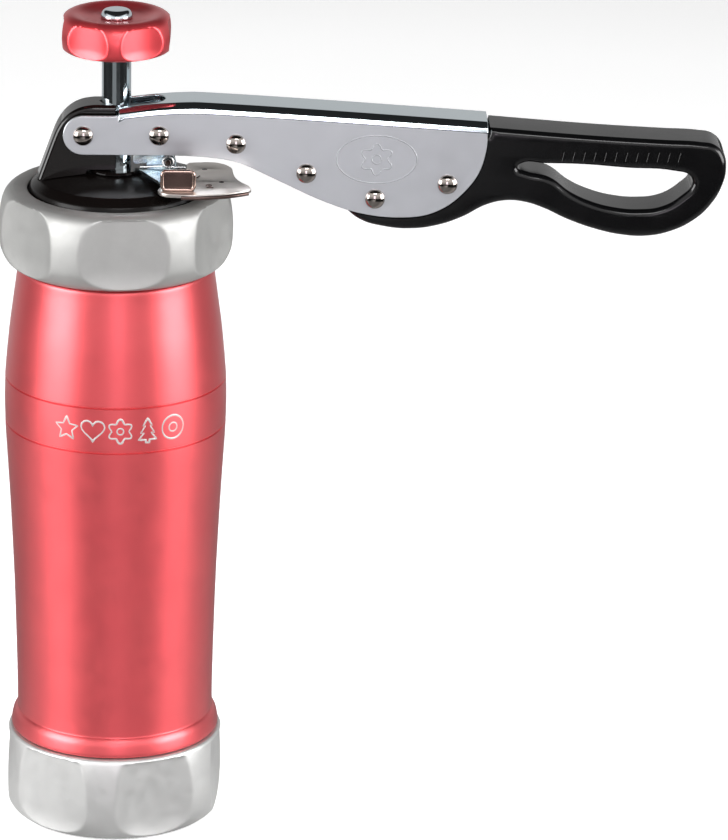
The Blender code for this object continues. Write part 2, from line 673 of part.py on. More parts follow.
def make_grip(parent):
    """The moulded handle: a core between the side plates, a full-width tail with a
    finger loop, and pockets in its flanks for the plates."""
    top = [(46.5, 203.2), (60.0, 203.4), (75.0, 202.4), (90.0, 201.3), (102.0, 200.9, 0),
           (102.0, 202.3, 0), (116.0, 201.2), (133.0, 200.0), (150.0, 199.1)]
    tail = [(160.0, 198.7), (163.9, 197.9), (166.4, 195.2), (167.1, 191.5),
            (166.2, 186.4), (163.0, 180.6), (158.4, 176.2), (152.0, 173.0),
            (145.5, 171.7), (139.0, 172.0), (132.0, 173.5), (124.0, 176.3),
            (117.0, 179.6), (112.0, 181.2), (107.0, 181.6), (101.5, 180.3),
            (95.0, 176.8), (88.0, 174.3), (80.5, 173.3), (73.5, 173.9), (67.0, 175.8),
            (62.5, 179.3), (57.0, 184.6), (49.0, 188.0), (46.2, 193.0)]
    loop = [(109.9, 190.9), (111.0, 192.9), (117.4, 192.8), (128.0, 192.1),
            (140.0, 191.2), (153.0, 190.4), (157.3, 189.0), (157.9, 186.9),
            (154.8, 183.2), (149.8, 180.2), (143.5, 179.3), (136.8, 179.8),
            (130.0, 181.6), (124.5, 184.2), (118.8, 188.0), (112.0, 189.4)]
    grip = plate("handle_grip", [top + tail, loop], GRIP_HALF_WIDTH, BLACK_PLASTIC, parent,
                 rotation=UPRIGHT, rounding=1.6, smooth=(0, 1))
    for side in (-1, 1):
        pocket = [(x, z - 0.45) for x, z in lever_side() if x > 30.0 and z < 198.0]
        pocket = [(102.0, 214.0), (102.0, 198.0)] + [
            (x + 0.35 if x > 95.0 else x, z) for x, z in pocket] + [(30.0, 214.0)]
        middle = side * (GRIP_CORE_HALF_WIDTH + 5.0)
        combine(grip, plate(f"grip_pocket_{side}", [pocket], 5.0, None, parent,
                            (0, middle, 0), UPRIGHT, collection=CUTTERS))
    for number, spot in enumerate(GRIP_RIVETS):
        combine(grip, bar_cutter(f"grip_hole_{number}", RIVET_RADIUS + FIT, 20.0,
                                 (spot[0], 0, spot[1]), parent, across=True))
    shade_round(grip)


# ---------------------------------------------------------------- pawls and springs

def torsion_spring(name, centre, radius, start, pitch, turns, leg, tail, material, parent):
    """A round-wire torsion spring about an axis along Y. Its turns start at a given y,
    and each end runs straight to a point in x, z."""
    wire = 0.3
    per_turn = 12
    count = int(turns * per_turn)
    first = math.atan2(leg[1] - centre[1], leg[0] - centre[0]) + math.pi / 2
    points = [(leg[0], start, leg[1])]
    for i in range(count + 1):
        angle = first + 2 * math.pi * i / per_turn
        points.append((centre[0] + radius * math.cos(angle),
                       start + pitch * i / per_turn,
                       centre[1] + radius * math.sin(angle)))
    points.append((tail[0], start + pitch * turns, tail[1]))
    curve = bpy.data.curves.new(name, 'CURVE')
    curve.dimensions = '3D'
    curve.bevel_depth = wire * MM
    curve.bevel_resolution = 2
    curve.use_fill_caps = True
    spline = curve.splines.new('POLY')
    spline.points.add(len(points) - 1)
    for point, spot in zip(spline.points, points):
        offset = Vector(spot) - Vector((centre[0], 0.0, centre[1]))
        point.co = (*(offset * MM), 1.0)
    new_object(name, curve, material, parent, (centre[0], 0.0, centre[1]))


def make_drive_pawl(parent):
    """The pawl on the lever that catches the rod's teeth on the down stroke."""
    boss = arc_points(PAWL_PIVOT, 3.6, -60, 130, 8)
    arm = [(7.8, 201.2), (6.3, 198.9), (5.4, 197.3), (8.0, 196.7)]
    pawl = plate("drive_pawl", [boss + arm], DRIVE_HALF_WIDTH, ZINC, parent,
                 rotation=UPRIGHT)
    combine(pawl, bar_cutter("drive_pawl_hole", RIVET_RADIUS + FIT, 20.0,
                             (PAWL_PIVOT[0], 0, PAWL_PIVOT[1]), parent, across=True))
    shade_round(pawl)


def make_holding_pawl(parent):
    """The pawl on the cap that keeps the rod from springing back up."""
    boss = arc_points(HOLD_PIVOT, 1.8, -110, 100, 8)
    arm = [(8.5, 192.6), (5.0, 191.3), (4.6, 190.8), (5.1, 190.2), (8.5, 190.4),
           (12.4, 190.8)]
    pawl = plate("holding_pawl", [boss + arm], HOLD_HALF_WIDTH, ZINC, parent,
                 rotation=UPRIGHT)
    combine(pawl, bar_cutter("holding_pawl_hole", PIN_RADIUS + FIT, 20.0,
                             (HOLD_PIVOT[0], 0, HOLD_PIVOT[1]), parent, across=True))
    shade_round(pawl)


def make_pawl_bracket(parent):
    """A folded bracket: two ears for the holding pawl's pin, on a base plate whose
    pointed tongue runs out beside the regulator."""
    base_low, base_high = 188.5, 189.3
    ear = [(x, dome_height(math.hypot(x, EAR_INNER)) + GAP)
           for x in (8.4, 11.2, 14.1, 17.0)]
    ear += arc_points(HOLD_PIVOT, 2.1, -30, 90, 5) + [(9.6, 193.5), (8.4, 192.6)]
    middle = (EAR_INNER + EAR_OUTER) / 2
    half = (EAR_OUTER - EAR_INNER) / 2
    bracket = plate("pawl_bracket", [ear], half, ZINC, parent, (0, -middle, 0), UPRIGHT)
    combine(bracket, plate("far_ear", [ear], half, None, parent, (0, middle, 0), UPRIGHT,
                           collection=CUTTERS), 'UNION')
    base = [(11.0, EAR_OUTER - 0.1), (11.0, -3.4), (6.4, -4.9), (12.2, -17.2),
            (13.0, -16.4), (12.8, -4.4), (16.4, -4.4), (16.4, EAR_OUTER - 0.1)]
    combine(bracket, plate("bracket_base", [base], (base_high - base_low) / 2, None, parent,
                           (0, 0, (base_low + base_high) / 2 + 0.02),
                           collection=CUTTERS), 'UNION')
    combine(bracket, bar_cutter("pin_hole", PIN_RADIUS + FIT, 20.0,
                                (HOLD_PIVOT[0], 0, HOLD_PIVOT[1]), parent, across=True))
    shade_round(bracket)


def make_pawl_pin(parent):
    """The holding pawl's pin: a head on the far ear, and a near end long enough to
    carry the spring."""
    profile = [(0.0, 6.05), (PIN_RADIUS - 0.2, 6.05), (PIN_RADIUS, 5.85),
               (PIN_RADIUS, -EAR_OUTER - 0.3), (1.6, -EAR_OUTER - 0.3),
               (1.6, -EAR_OUTER - 0.9), (1.2, -EAR_OUTER - 1.3), (0.0, -EAR_OUTER - 1.3)]
    pin = turned("holding_pawl_pin", profile, NICKEL, parent,
                 (HOLD_PIVOT[0], 0, HOLD_PIVOT[1]), UPRIGHT, 16)
    shade_round(pin)


# ---------------------------------------------------------------- dose regulator

def make_regulator(parent):
    """The stepped plate beside the lever that sets the dose: a flat leaf with two
    detent holes, a turned-down front edge and a finger tab."""
    front = [(12.4, -21.6), (18.0, -24.7), (24.6, -24.4), (31.4, -22.4), (36.2, -19.8)]
    right = [(36.9, -18.6), (36.6, -16.3), (34.2, -11.6), (32.5, -7.0), (32.1, -2.6),
             (31.6, 1.2), (28.2, 5.9), (26.0, 6.2)]
    left = [(19.9, 5.6), (19.3, 4.6), (19.3, -5.2)]
    boss = arc_points(REGULATOR_PIVOT, 3.4, 70, 215, 6)
    outline = front + right + left + boss
    holes = [circle_points((24.2, -0.4), 0.75, 10), circle_points((28.8, -12.2), 0.75, 10),
             circle_points(REGULATOR_PIVOT, RIVET_RADIUS - 0.3 + FIT, 16)]
    middle = (REGULATOR_BOTTOM + REGULATOR_TOP) / 2
    leaf = plate("dose_regulator", [outline] + holes,
                 (REGULATOR_TOP - REGULATOR_BOTTOM) / 2, NICKEL, parent, (0, 0, middle))
    inner = [(x - 0.15, y + 1.0) for x, y in reversed(front[1:])]
    lip_top = REGULATOR_TOP - 0.3
    lip = plate("regulator_lip", [front[1:] + inner], (lip_top - LIP_BOTTOM) / 2, None,
                parent, (0, 0, (lip_top + LIP_BOTTOM) / 2), collection=CUTTERS)
    combine(leaf, lip, 'UNION')
    tab = [(12.4, 187.5), (21.6, 187.5), (21.6, TAB_TOP - 1.2), (20.4, TAB_TOP),
           (13.6, TAB_TOP), (12.4, TAB_TOP - 1.2)]
    combine(leaf, plate("finger_tab", [tab], 0.5, None, parent, (0, -20.9, 0), UPRIGHT,
                        collection=CUTTERS), 'UNION')
    shade_round(leaf)


def make_regulator_rivet(parent):
    """The shouldered rivet that the regulator turns on."""
    shank = RIVET_RADIUS - 0.3
    profile = [(0.0, 189.7), (1.4, 189.5), (2.5, 188.9), (2.8, REGULATOR_TOP + 0.2),
               (shank, REGULATOR_TOP + 0.2), (shank, 183.1), (2.2, 183.1), (1.9, 182.4),
               (0.0, 182.2)]
    rivet = turned("regulator_rivet", profile, NICKEL, parent, (*REGULATOR_PIVOT, 0),
                   steps=20)
    shade_round(rivet)


# ---------------------------------------------------------------- the whole press

def build():
    foot = new_axis("foot_frame", (0, 0, 0))
    barrel_axis = new_axis("barrel_axis", (0, 0, BARREL_BOTTOM), foot)
    head = new_axis("head_axis", (0, 0, BARREL_TOP), barrel_axis)
    plunger = new_axis("plunger_axis", (0, 0, PISTON_TOP), head)
    lever = new_axis("lever_axis", (PIVOT[0], 0, PIVOT[1]), head)
    drive = new_axis("drive_pawl_axis", (PAWL_PIVOT[0], 0, PAWL_PIVOT[1]), lever)
    hold = new_axis("holding_pawl_axis", (HOLD_PIVOT[0], 0, HOLD_PIVOT[1]), head)
    regulator = new_axis("regulator_axis", (*REGULATOR_PIVOT, REGULATOR_TOP), head)
    make_lower_nut(foot)
    make_die(barrel_axis)
    make_barrel(barrel_axis)
    make_upper_nut(head)
    make_cap(head)
    make_rod_guide(head)
    make_bracket(head)
    make_piston(plunger)
    make_seal(plunger)
    make_rod(plunger)
    make_piston_screw(plunger)
    make_knob(plunger)
    make_knob_screw(plunger)
    make_lever(lever)
    make_grip(lever)
    make_spacer(lever)
    make_rivet("pivot_rivet", PIVOT, lever)
    make_rivet("pawl_rivet", PAWL_PIVOT, lever)
    make_rivet("spacer_rivet", SPACER, lever)
    for name, spot in zip(("rear", "middle", "front"), GRIP_RIVETS):
        make_rivet(f"grip_rivet_{name}", spot, lever)
    make_drive_pawl(drive)
    torsion_spring("drive_pawl_spring", PAWL_PIVOT, 2.75, 3.65, 0.75, 2.25, (6.2, 200.9),
                   (16.0, 204.6), SPRING_STEEL, drive)
    make_pawl_bracket(head)
    make_pawl_pin(head)
    make_holding_pawl(hold)
    torsion_spring("holding_pawl_spring", HOLD_PIVOT, 1.45, -4.45, -0.65, 2.0,
                   (6.6, 189.8), (19.0, 190.2), SPRING_STEEL, hold)
    make_regulator(regulator)
    make_regulator_rivet(head)
    foot.location.x = AXIS_X * MM


build()
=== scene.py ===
"""The looks of the hand-lever cookie press: smooth visible shells round the CAD frame,
anodised, blasted, plated and enamelled finishes, and a plain studio.

Lengths are in millimetres, and x and y are measured from the barrel's axis; the helpers
turn them into metres in the frame's own coordinates."""

import math

import bmesh
import bpy
from mathutils import Matrix, Vector


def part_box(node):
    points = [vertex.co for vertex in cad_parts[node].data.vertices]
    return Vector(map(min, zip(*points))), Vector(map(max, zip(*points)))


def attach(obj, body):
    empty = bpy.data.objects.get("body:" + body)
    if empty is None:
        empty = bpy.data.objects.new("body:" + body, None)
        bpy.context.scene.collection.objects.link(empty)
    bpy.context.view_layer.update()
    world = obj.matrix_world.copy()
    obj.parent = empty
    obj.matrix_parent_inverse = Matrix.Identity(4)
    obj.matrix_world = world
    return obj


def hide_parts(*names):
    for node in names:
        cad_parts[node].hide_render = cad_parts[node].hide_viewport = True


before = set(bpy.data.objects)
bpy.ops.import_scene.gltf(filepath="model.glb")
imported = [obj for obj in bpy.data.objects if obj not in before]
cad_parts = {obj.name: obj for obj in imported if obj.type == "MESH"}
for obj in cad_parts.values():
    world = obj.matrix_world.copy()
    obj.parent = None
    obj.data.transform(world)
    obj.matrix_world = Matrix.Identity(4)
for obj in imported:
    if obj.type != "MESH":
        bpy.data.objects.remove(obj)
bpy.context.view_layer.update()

MM = 0.001


def middle_of(node):
    low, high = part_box(node)
    return (low + high) / 2


AXIS_X = middle_of("barrel").x / MM

PIVOT = (-9.0, 199.5)
PAWL_PIVOT = (11.7, 199.7)
SPACER = (32.7, 197.5)
GRIP_RIVETS = ((52.0, 189.3), (70.9, 182.2), (90.7, 186.5))
LEVER_HALF_WIDTH = 7.5
LEVER_SHEET = 1.2
FOLD_RADIUS = 2.7
FORK_TOP = 205.0
FORK_END_RADIUS = 5.5
WEB_START = 0.7
WEB_END = 101.5
ROD_SLOT_HALF_WIDTH = 4.3
ROD_SLOT_END = 13.4
ROD_SLOT_STRAIGHT = ROD_SLOT_END - ROD_SLOT_HALF_WIDTH
BAND_BOTTOM = 115.7
BAND_TOP = 128.7
BELLY_RADIUS = 30.75
BAND_RIM = BELLY_RADIUS - 0.12
UPPER_THREAD = (165.5, 179.4)
LOWER_THREAD = (5.2, 24.0)
THREAD_PITCH = 4.0
THREAD_DEPTH = 0.5
THREAD_FADE = 1.5
FOLD_STEPS = 8
LEAST_WEB = 0.02             # what a slot leaves of the web beside each fold
SHEET_EDGE_ROUND = 0.22
PAD_WALL = 0.8               # a finger pad rises by its steepness this far past its edge
PAD_STEEPNESS = 4.0
PAD_FLARE = 0.6              # what a pad rises at its foot
PAD_BLEND = 0.14             # width of the rounded edge between pad and rim
STROKE_RADIUS = 0.7          # the etched lines are thick wires sunk nearly flush
STROKE_SUNK = 0.63


# ---------------------------------------------------------------- materials

def new_material(name, colour, roughness, metallic=0.0, **sockets):
    """A Principled material. Extra values are given as socket_name=value."""
    material = bpy.data.materials.new(name)
    material.use_nodes = True
    shader = material.node_tree.nodes["Principled BSDF"]
    shader.inputs["Base Color"].default_value = (*colour, 1.0)
    shader.inputs["Roughness"].default_value = roughness
    shader.inputs["Metallic"].default_value = metallic
    for socket, value in sockets.items():
        shader.inputs[socket.replace("_", " ")].default_value = value
    return material


def object_coordinates(tree, stretch):
    coordinates = tree.nodes.new("ShaderNodeTexCoord")
    mapping = tree.nodes.new("ShaderNodeMapping")
    mapping.inputs["Scale"].default_value = stretch
    tree.links.new(coordinates.outputs["Object"], mapping.inputs["Vector"])
    return mapping.outputs["Vector"]


def noise(tree, size, detail=2.0, stretch=(1.0, 1.0, 1.0)):
    """Noise whose lumps are about this many millimetres across."""
    texture = tree.nodes.new("ShaderNodeTexNoise")
    texture.inputs["Scale"].default_value = 1.0 / (size * MM)
    texture.inputs["Detail"].default_value = detail
    tree.links.new(object_coordinates(tree, stretch), texture.inputs["Vector"])
    return texture.outputs["Fac"]


def map_range(tree, value, low, high):
    """The noise's usual span, 0.3 to 0.7, spread over low to high."""
    node = tree.nodes.new("ShaderNodeMapRange")
    node.inputs["From Min"].default_value = 0.3
    node.inputs["From Max"].default_value = 0.7
    node.inputs["To Min"].default_value = low
    node.inputs["To Max"].default_value = high
    tree.links.new(value, node.inputs["Value"])
    return node.outputs["Result"]


def add_grain(material, size, height, stretch=(1.0, 1.0, 1.0)):
    """Fine bumps of that size and height, in millimetres."""
    tree = material.node_tree
    bump = tree.nodes.new("ShaderNodeBump")
    bump.inputs["Distance"].default_value = height * MM
    tree.links.new(noise(tree, size, 2.0, stretch), bump.inputs["Height"])
    shader = tree.nodes["Principled BSDF"]
    tree.links.new(bump.outputs["Normal"], shader.inputs["Normal"])


def vary_roughness(material, size, low, high, stretch=(1.0, 1.0, 1.0)):
    tree = material.node_tree
    value = map_range(tree, noise(tree, size, 3.0, stretch), low, high)
    tree.links.new(value, tree.nodes["Principled BSDF"].inputs["Roughness"])


def vary_colour(material, size, colour, other, stretch=(1.0, 1.0, 1.0)):
    """Drifts between two close colours in soft patches."""
    tree = material.node_tree
    mix = tree.nodes.new("ShaderNodeMix")
    mix.data_type = 'RGBA'
    mix.inputs["A"].default_value = (*colour, 1.0)
    mix.inputs["B"].default_value = (*other, 1.0)
    value = map_range(tree, noise(tree, size, 2.0, stretch), 0.0, 1.0)
    tree.links.new(value, mix.inputs["Factor"])
    tree.links.new(mix.outputs["Result"], tree.nodes["Principled BSDF"].inputs["Base Color"])


def turned_sheen(material, amount):
    """Fine turning marks round the axis, which stretch each highlight up and down."""
    tree = material.node_tree
    shader = tree.nodes["Principled BSDF"]
    shader.inputs["Anisotropic"].default_value = amount
    shader.inputs["Anisotropic Rotation"].default_value = 0.25
    tangent = tree.nodes.new("ShaderNodeTangent")
    tangent.direction_type = 'RADIAL'
    tangent.axis = 'Z'
    tree.links.new(tangent.outputs["Tangent"], shader.inputs["Tangent"])


def red_anodised(name, colour, other):
    material = new_material(name, colour, 0.42, 0.92,
                            Coat_Weight=0.7, Coat_Roughness=0.3)
    vary_colour(material, 14.0, colour, other)
    vary_roughness(material, 5.0, 0.40, 0.46)
    add_grain(material, 0.35, 0.006)
    turned_sheen(material, 0.6)
    return material


def blasted_aluminium(name, colour, roughness, height):
    material = new_material(name, colour, roughness, 0.9)
    darker = tuple(part * 0.94 for part in colour)
    vary_colour(material, 9.0, colour, darker)
    vary_roughness(material, 3.0, roughness - 0.04, roughness + 0.05)
    add_grain(material, 0.3, height)
    return material


def bright_chrome():
    material = new_material("bright_chrome", (0.71, 0.79, 0.83), 0.07, 1.0)
    vary_roughness(material, 6.0, 0.05, 0.10)
    return material


def satin_chrome():
    material = new_material("satin_chrome_side", (0.54, 0.56, 0.59), 0.30, 0.88)
    vary_colour(material, 12.0, (0.64, 0.66, 0.69), (0.62, 0.64, 0.67))
    vary_roughness(material, 4.0, 0.29, 0.35)
    return material


def plain_plated(name, colour, low, high, patch, metallic=1.0):
    material = new_material(name, colour, (low + high) / 2, metallic)
    vary_roughness(material, patch, low, high)
    return material


def black_gloss(name, colour, low, high, grain, shine=0.37):
    material = new_material(name, colour, (low + high) / 2, 0.0, Specular_IOR_Level=shine)
    vary_roughness(material, 7.0, low, high)
    add_grain(material, 1.6, grain)
    return material


def blue_zinc():
    """Zinc plate with the blue, straw and violet drift of its passivation."""
    material = new_material("blue_zinc", (0.70, 0.80, 0.83), 0.2, 1.0)
    vary_colour(material, 3.0, (0.78, 0.86, 0.86), (0.42, 0.54, 0.64), (1.0, 1.0, 2.2))
    vary_roughness(material, 2.0, 0.14, 0.28)
    return material


RED = red_anodised("red_anodised_satin", (0.84, 0.115, 0.128), (0.81, 0.105, 0.12))
KNOB_RED = red_anodised("red_anodised_deep", (0.80, 0.072, 0.085), (0.77, 0.066, 0.08))
UPPER_SILVER = blasted_aluminium("blasted_aluminium", (0.445, 0.445, 0.435), 0.57, 0.010)
LOWER_SILVER = blasted_aluminium("blasted_aluminium_light", (0.70, 0.70, 0.69), 0.46, 0.014)
CHROME = bright_chrome()
SATIN = satin_chrome()
NICKEL = plain_plated("bright_nickel", (0.36, 0.32, 0.295), 0.07, 0.13, 3.0)
REGULATOR_NICKEL = plain_plated("satin_nickel", (0.70, 0.65, 0.61), 0.29, 0.35, 4.0)
# Dark brown: painted shade on the regulator's lip and tab, and also the colour of its stamped
# numbers.
SHADE_AND_MARK_BROWN = plain_plated("brown_nickel_painted_shade_and_marks", (0.085, 0.055, 0.048), 0.16, 0.26, 2.0, 0.8)
COPPERY = plain_plated("coppery_nickel", (0.40, 0.29, 0.25), 0.14, 0.24, 2.0)
STEEL = plain_plated("spring_steel", (0.55, 0.55, 0.56), 0.2, 0.3, 1.0)
ZINC = blue_zinc()
# Black enamel of the tower and the rod guide; it also fills the regulator's holes as painted
# shade.
ENAMEL_AND_HOLE_SHADE = black_gloss("black_enamel", (0.003, 0.0022, 0.002), 0.07, 0.11, 0.004)
CAP_ENAMEL = black_gloss("satin_enamel", (0.003, 0.0022, 0.002), 0.22, 0.28, 0.004, 0.14)
PLASTIC = black_gloss("black_moulding", (0.002, 0.002, 0.0022), 0.12, 0.20, 0.004)
ETCHED = new_material("etched_silver", (0.46, 0.43, 0.42), 0.5, 0.5)
vary_roughness(ETCHED, 0.8, 0.42, 0.58)
STAMPED = new_material("stamped_grey", (0.36, 0.37, 0.39), 0.45, 0.8)
vary_roughness(STAMPED, 0.8, 0.38, 0.52)
SEAL = new_material("seal_plastic", (0.75, 0.74, 0.70), 0.5)
vary_roughness(SEAL, 2.0, 0.45, 0.58)


# ---------------------------------------------------------------- building helpers

def spot(x, y, z):
    """A point given from the barrel's axis, in the frame's metres."""
    return Vector(((AXIS_X + x) * MM, y * MM, z * MM))


def finish_piece(item, material, body, nodes):
    if material:
        item.data.materials.clear()
        item.data.materials.append(material)
    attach(item, body)
    if nodes:
        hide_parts(*nodes)
    return item


def add_object(name, data):
    item = bpy.data.objects.new(name, data)
    bpy.context.scene.collection.objects.link(item)
    return item


def mesh_from(form, name, sharp=40.0):
    """A mesh object with smooth faces and sharp edges above an angle."""
    bmesh.ops.recalc_face_normals(form, faces=form.faces)
    mesh = bpy.data.meshes.new(name)
    form.to_mesh(mesh)
    form.free()
    mesh.shade_smooth()
    mesh.set_sharp_from_angle(angle=math.radians(sharp))
    return add_object(name, mesh)


def catmull(points, steps, closed=False):
    """A smooth line through the points, with this many steps between neighbours."""
    spots = [Vector(point[:2]) for point in points]
    count = len(spots)
    spans = count if closed else count - 1
    line = []
    for i in range(spans):
        if closed:
            a, b, c, d = (spots[(i + k) % count] for k in (-1, 0, 1, 2))
        else:
            b, c = spots[i], spots[i + 1]
            a = spots[i - 1] if i else b
            d = spots[i + 2] if i + 2 < count else c
        for step in range(steps):
            t = step / steps
            line.append(0.5 * ((2 * b) + (c - a) * t + (2 * a - 5 * b + 4 * c - d) * t * t
                               + (3 * b - a - 3 * c + d) * t ** 3))
    if not closed:
        line.append(spots[-1])
    return [tuple(point) for point in line]


def revolve(name, profile, segments=96, shape=None, centre=(0, 0), ring=True,
            across=False, sharp=40.0):
    """A turned piece about the barrel's axis, or about a line along Y when it goes
    across. The profile is (radius, height) pairs round the section. shape changes a
    radius by its height and angle."""
    form = bmesh.new()
    rows = []
    for radius, height in profile:
        row = []
        for i in range(segments):
            angle = 2 * math.pi * i / segments
            r = shape(radius, height, angle) if shape else radius
            if across:
                place = spot(centre[0] + r * math.cos(angle), -height,
                             centre[1] + r * math.sin(angle))
            else:
                place = spot(centre[0] + r * math.cos(angle),
                             centre[1] + r * math.sin(angle), height)
            row.append(form.verts.new(place))
        rows.append(row)
    pairs = list(zip(rows, rows[1:]))
    if ring:
        pairs.append((rows[-1], rows[0]))
    for row, following in pairs:
        for i in range(segments):
            j = (i + 1) % segments
            form.faces.new((row[i], row[j], following[j], following[i]))
    if not ring:
        form.faces.new(rows[0])
        form.faces.new(rows[-1])
    return mesh_from(form, name, sharp)


def filleted(corners, steps=4):
    """A section's corners, (radius, height, fillet), with each fillet rounded off."""
    line = []
    count = len(corners)
    for i, (x, y, fillet) in enumerate(corners):
        here = Vector((x, y))
        if not fillet:
            line.append((x, y))
            continue
        before = (Vector(corners[i - 1][:2]) - here).normalized() * fillet
        after = (Vector(corners[(i + 1) % count][:2]) - here).normalized() * fillet
        for step in range(steps + 1):
            t = step / steps
            point = (here + before) * (1 - t) ** 2 + here * 2 * t * (1 - t) \
                + (here + after) * t * t
            line.append(tuple(point))
    return line


def flat_piece(name, outlines, half_thickness, rounding, y=0.0, z=None, smooth=(),
               resolution=6):
    """A plate from 2D outlines with rounded edges. It stands in x, z at a given y, or
    lies in x, y at a given z. An outline in smooth is curved through its points, except
    at those with a third value, which stay corners."""
    curve = bpy.data.curves.new(name, 'CURVE')
    curve.dimensions = '2D'
    curve.fill_mode = 'BOTH'
    curve.extrude = (half_thickness - rounding) * MM
    curve.bevel_depth = rounding * MM
    curve.bevel_resolution = 3
    curve.offset = -rounding * MM
    curve.resolution_u = resolution
    for number, outline in enumerate(outlines):
        spline = curve.splines.new('BEZIER')
        spline.use_cyclic_u = True
        spline.bezier_points.add(len(outline) - 1)
        for point, place in zip(spline.bezier_points, outline):
            point.co = ((AXIS_X + place[0]) * MM, place[1] * MM, 0.0)
            corner = number not in smooth or len(place) > 2
            point.handle_left_type = 'VECTOR' if corner else 'AUTO'
            point.handle_right_type = point.handle_left_type
    drawn = add_object(name + "_drawn", curve)
    bpy.context.view_layer.update()
    graph = bpy.context.evaluated_depsgraph_get()
    mesh = bpy.data.meshes.new_from_object(drawn.evaluated_get(graph))
    bpy.data.objects.remove(drawn, do_unlink=True)
    form = bmesh.new()
    form.from_mesh(mesh)
    bmesh.ops.remove_doubles(form, verts=form.verts, dist=0.000002)
    turn = Matrix.Rotation(math.pi / 2, 4, 'X') if z is None else Matrix()
    move = Matrix.Translation((0, y * MM, 0 if z is None else z * MM))
    bmesh.ops.transform(form, matrix=move @ turn, verts=form.verts)
    bpy.data.meshes.remove(mesh)
    return mesh_from(form, name)


def strokes(name, lines, radius):
    """Round wires along lines of frame points; a line that ends where it starts is
    closed."""
    curve = bpy.data.curves.new(name, 'CURVE')
    curve.dimensions = '3D'
    curve.bevel_depth = radius * MM
    curve.bevel_resolution = 2
    curve.use_fill_caps = True
    for line in lines:
        closed = (line[0] - line[-1]).length < 1e-7
        points = line[:-1] if closed else line
        spline = curve.splines.new('POLY')
        spline.use_cyclic_u = closed
        spline.points.add(len(points) - 1)
        for point, place in zip(spline.points, points):
            point.co = (*place, 1.0)
    return add_object(name, curve)


def closed_up(line):
    """A line of frame points that ends where it starts."""
    return line + [line[0].copy()]


def cut(item, cutter):
    """Takes the cutter out of the item, for good."""
    modifier = item.modifiers.new("cut", 'BOOLEAN')
    modifier.operation = 'DIFFERENCE'
    modifier.object = cutter
    modifier.solver = 'EXACT'
    bpy.context.view_layer.update()
    graph = bpy.context.evaluated_depsgraph_get()
    mesh = bpy.data.meshes.new_from_object(item.evaluated_get(graph))
    item.modifiers.clear()
    item.data = mesh
    bpy.data.objects.remove(cutter, do_unlink=True)
    mesh.shade_smooth()
    mesh.set_sharp_from_angle(angle=math.radians(35.0))


def weighted(item):
    """Keeps large flat faces flat beside small rounded ones."""
    modifier = item.modifiers.new("weighted", 'WEIGHTED_NORMAL')
    modifier.keep_sharp = True
    modifier.weight = 80


# ---------------------------------------------------------------- barrel and ring nuts

def thread(radius, height, angle, bottom, top):
    """A rounded ridge that climbs one pitch a turn, fading out at its ends."""
    turn = (height / THREAD_PITCH - angle / (2 * math.pi)) % 1.0
    ridge = max(0.0, math.cos(2 * math.pi * (turn - 0.5))) ** 1.5
    fade = min(1.0, max(0.0, (height - bottom) / THREAD_FADE),
               max(0.0, (top - height) / THREAD_FADE))
    return radius + THREAD_DEPTH * ridge * fade


def barrel_shape(radius, height, angle):
    outside = radius > 25.5
    for bottom, top in (UPPER_THREAD, LOWER_THREAD):
        if outside and bottom < height < top:
            return thread(radius, height, angle, bottom, top)
    return radius


def groove(height):
    """A fine rounded groove in the belly, top to bottom."""
    half_width = 0.34
    depth = 0.4
    half = [(0.0, 1.0), (0.3, 0.7), (1.0, 0.25)]
    around = half + [(part, -side) for part, side in reversed(half)]
    return [(BAND_RIM - depth * part, height + half_width * side) for part, side in around]


def make_barrel():
    top_zone = [(25.9, 180.0), (26.2, 179.6)]
    top_zone += [(26.2, 179.5 - 0.5 * i) for i in range(30)]
    shoulder = [(26.3, 164.3), (26.3, 161.3)]
    shoulder += catmull([(26.5, 161.0), (26.9, 160.7), (27.15, 160.0), (27.45, 157.4),
                         (28.44, 150.0), (29.28, 143.6), (30.05, 136.0),
                         (BAND_RIM, BAND_TOP + 0.4)], 6)
    band = catmull([(BAND_RIM, BAND_TOP - 0.4), (BELLY_RADIUS, 122.2),
                    (BAND_RIM, BAND_BOTTOM + 0.4)], 4)
    waist = catmull([(BAND_RIM, BAND_BOTTOM - 0.4), (30.45, 111.5), (30.05, 105.0),
                     (29.4, 94.0), (28.75, 81.0), (28.2, 68.0), (27.8, 54.5),
                     (27.5, 42.5), (27.38, 35.0), (27.4, 30.5)], 5)
    waist += catmull([(27.45, 30.35), (28.0, 29.75), (28.6, 28.6), (28.95, 27.0),
                      (29.1, 25.6), (28.7, 24.95)], 5)
    foot = [(26.0, 24.9)] + [(26.0, 24.4 - 0.5 * i) for i in range(38)]
    foot += [(26.0, 5.0), (25.6, 4.4), (25.0, 4.4), (25.0, 90.0), (25.0, 180.0)]
    profile = top_zone + shoulder[:-1] + groove(BAND_TOP) + band[1:-1] \
        + groove(BAND_BOTTOM) + waist[1:] + foot
    barrel = revolve("barrel_shell", profile, 144, barrel_shape, sharp=32.0)
    finish_piece(barrel, RED, "barrel", ["barrel"])


def soft_min(a, b, width):
    """The smaller of two values, rounded where they meet."""
    share = min(1.0, max(0.0, 0.5 + 0.5 * (b - a) / width))
    return a * share + b * (1 - share) - width * share * (1 - share)


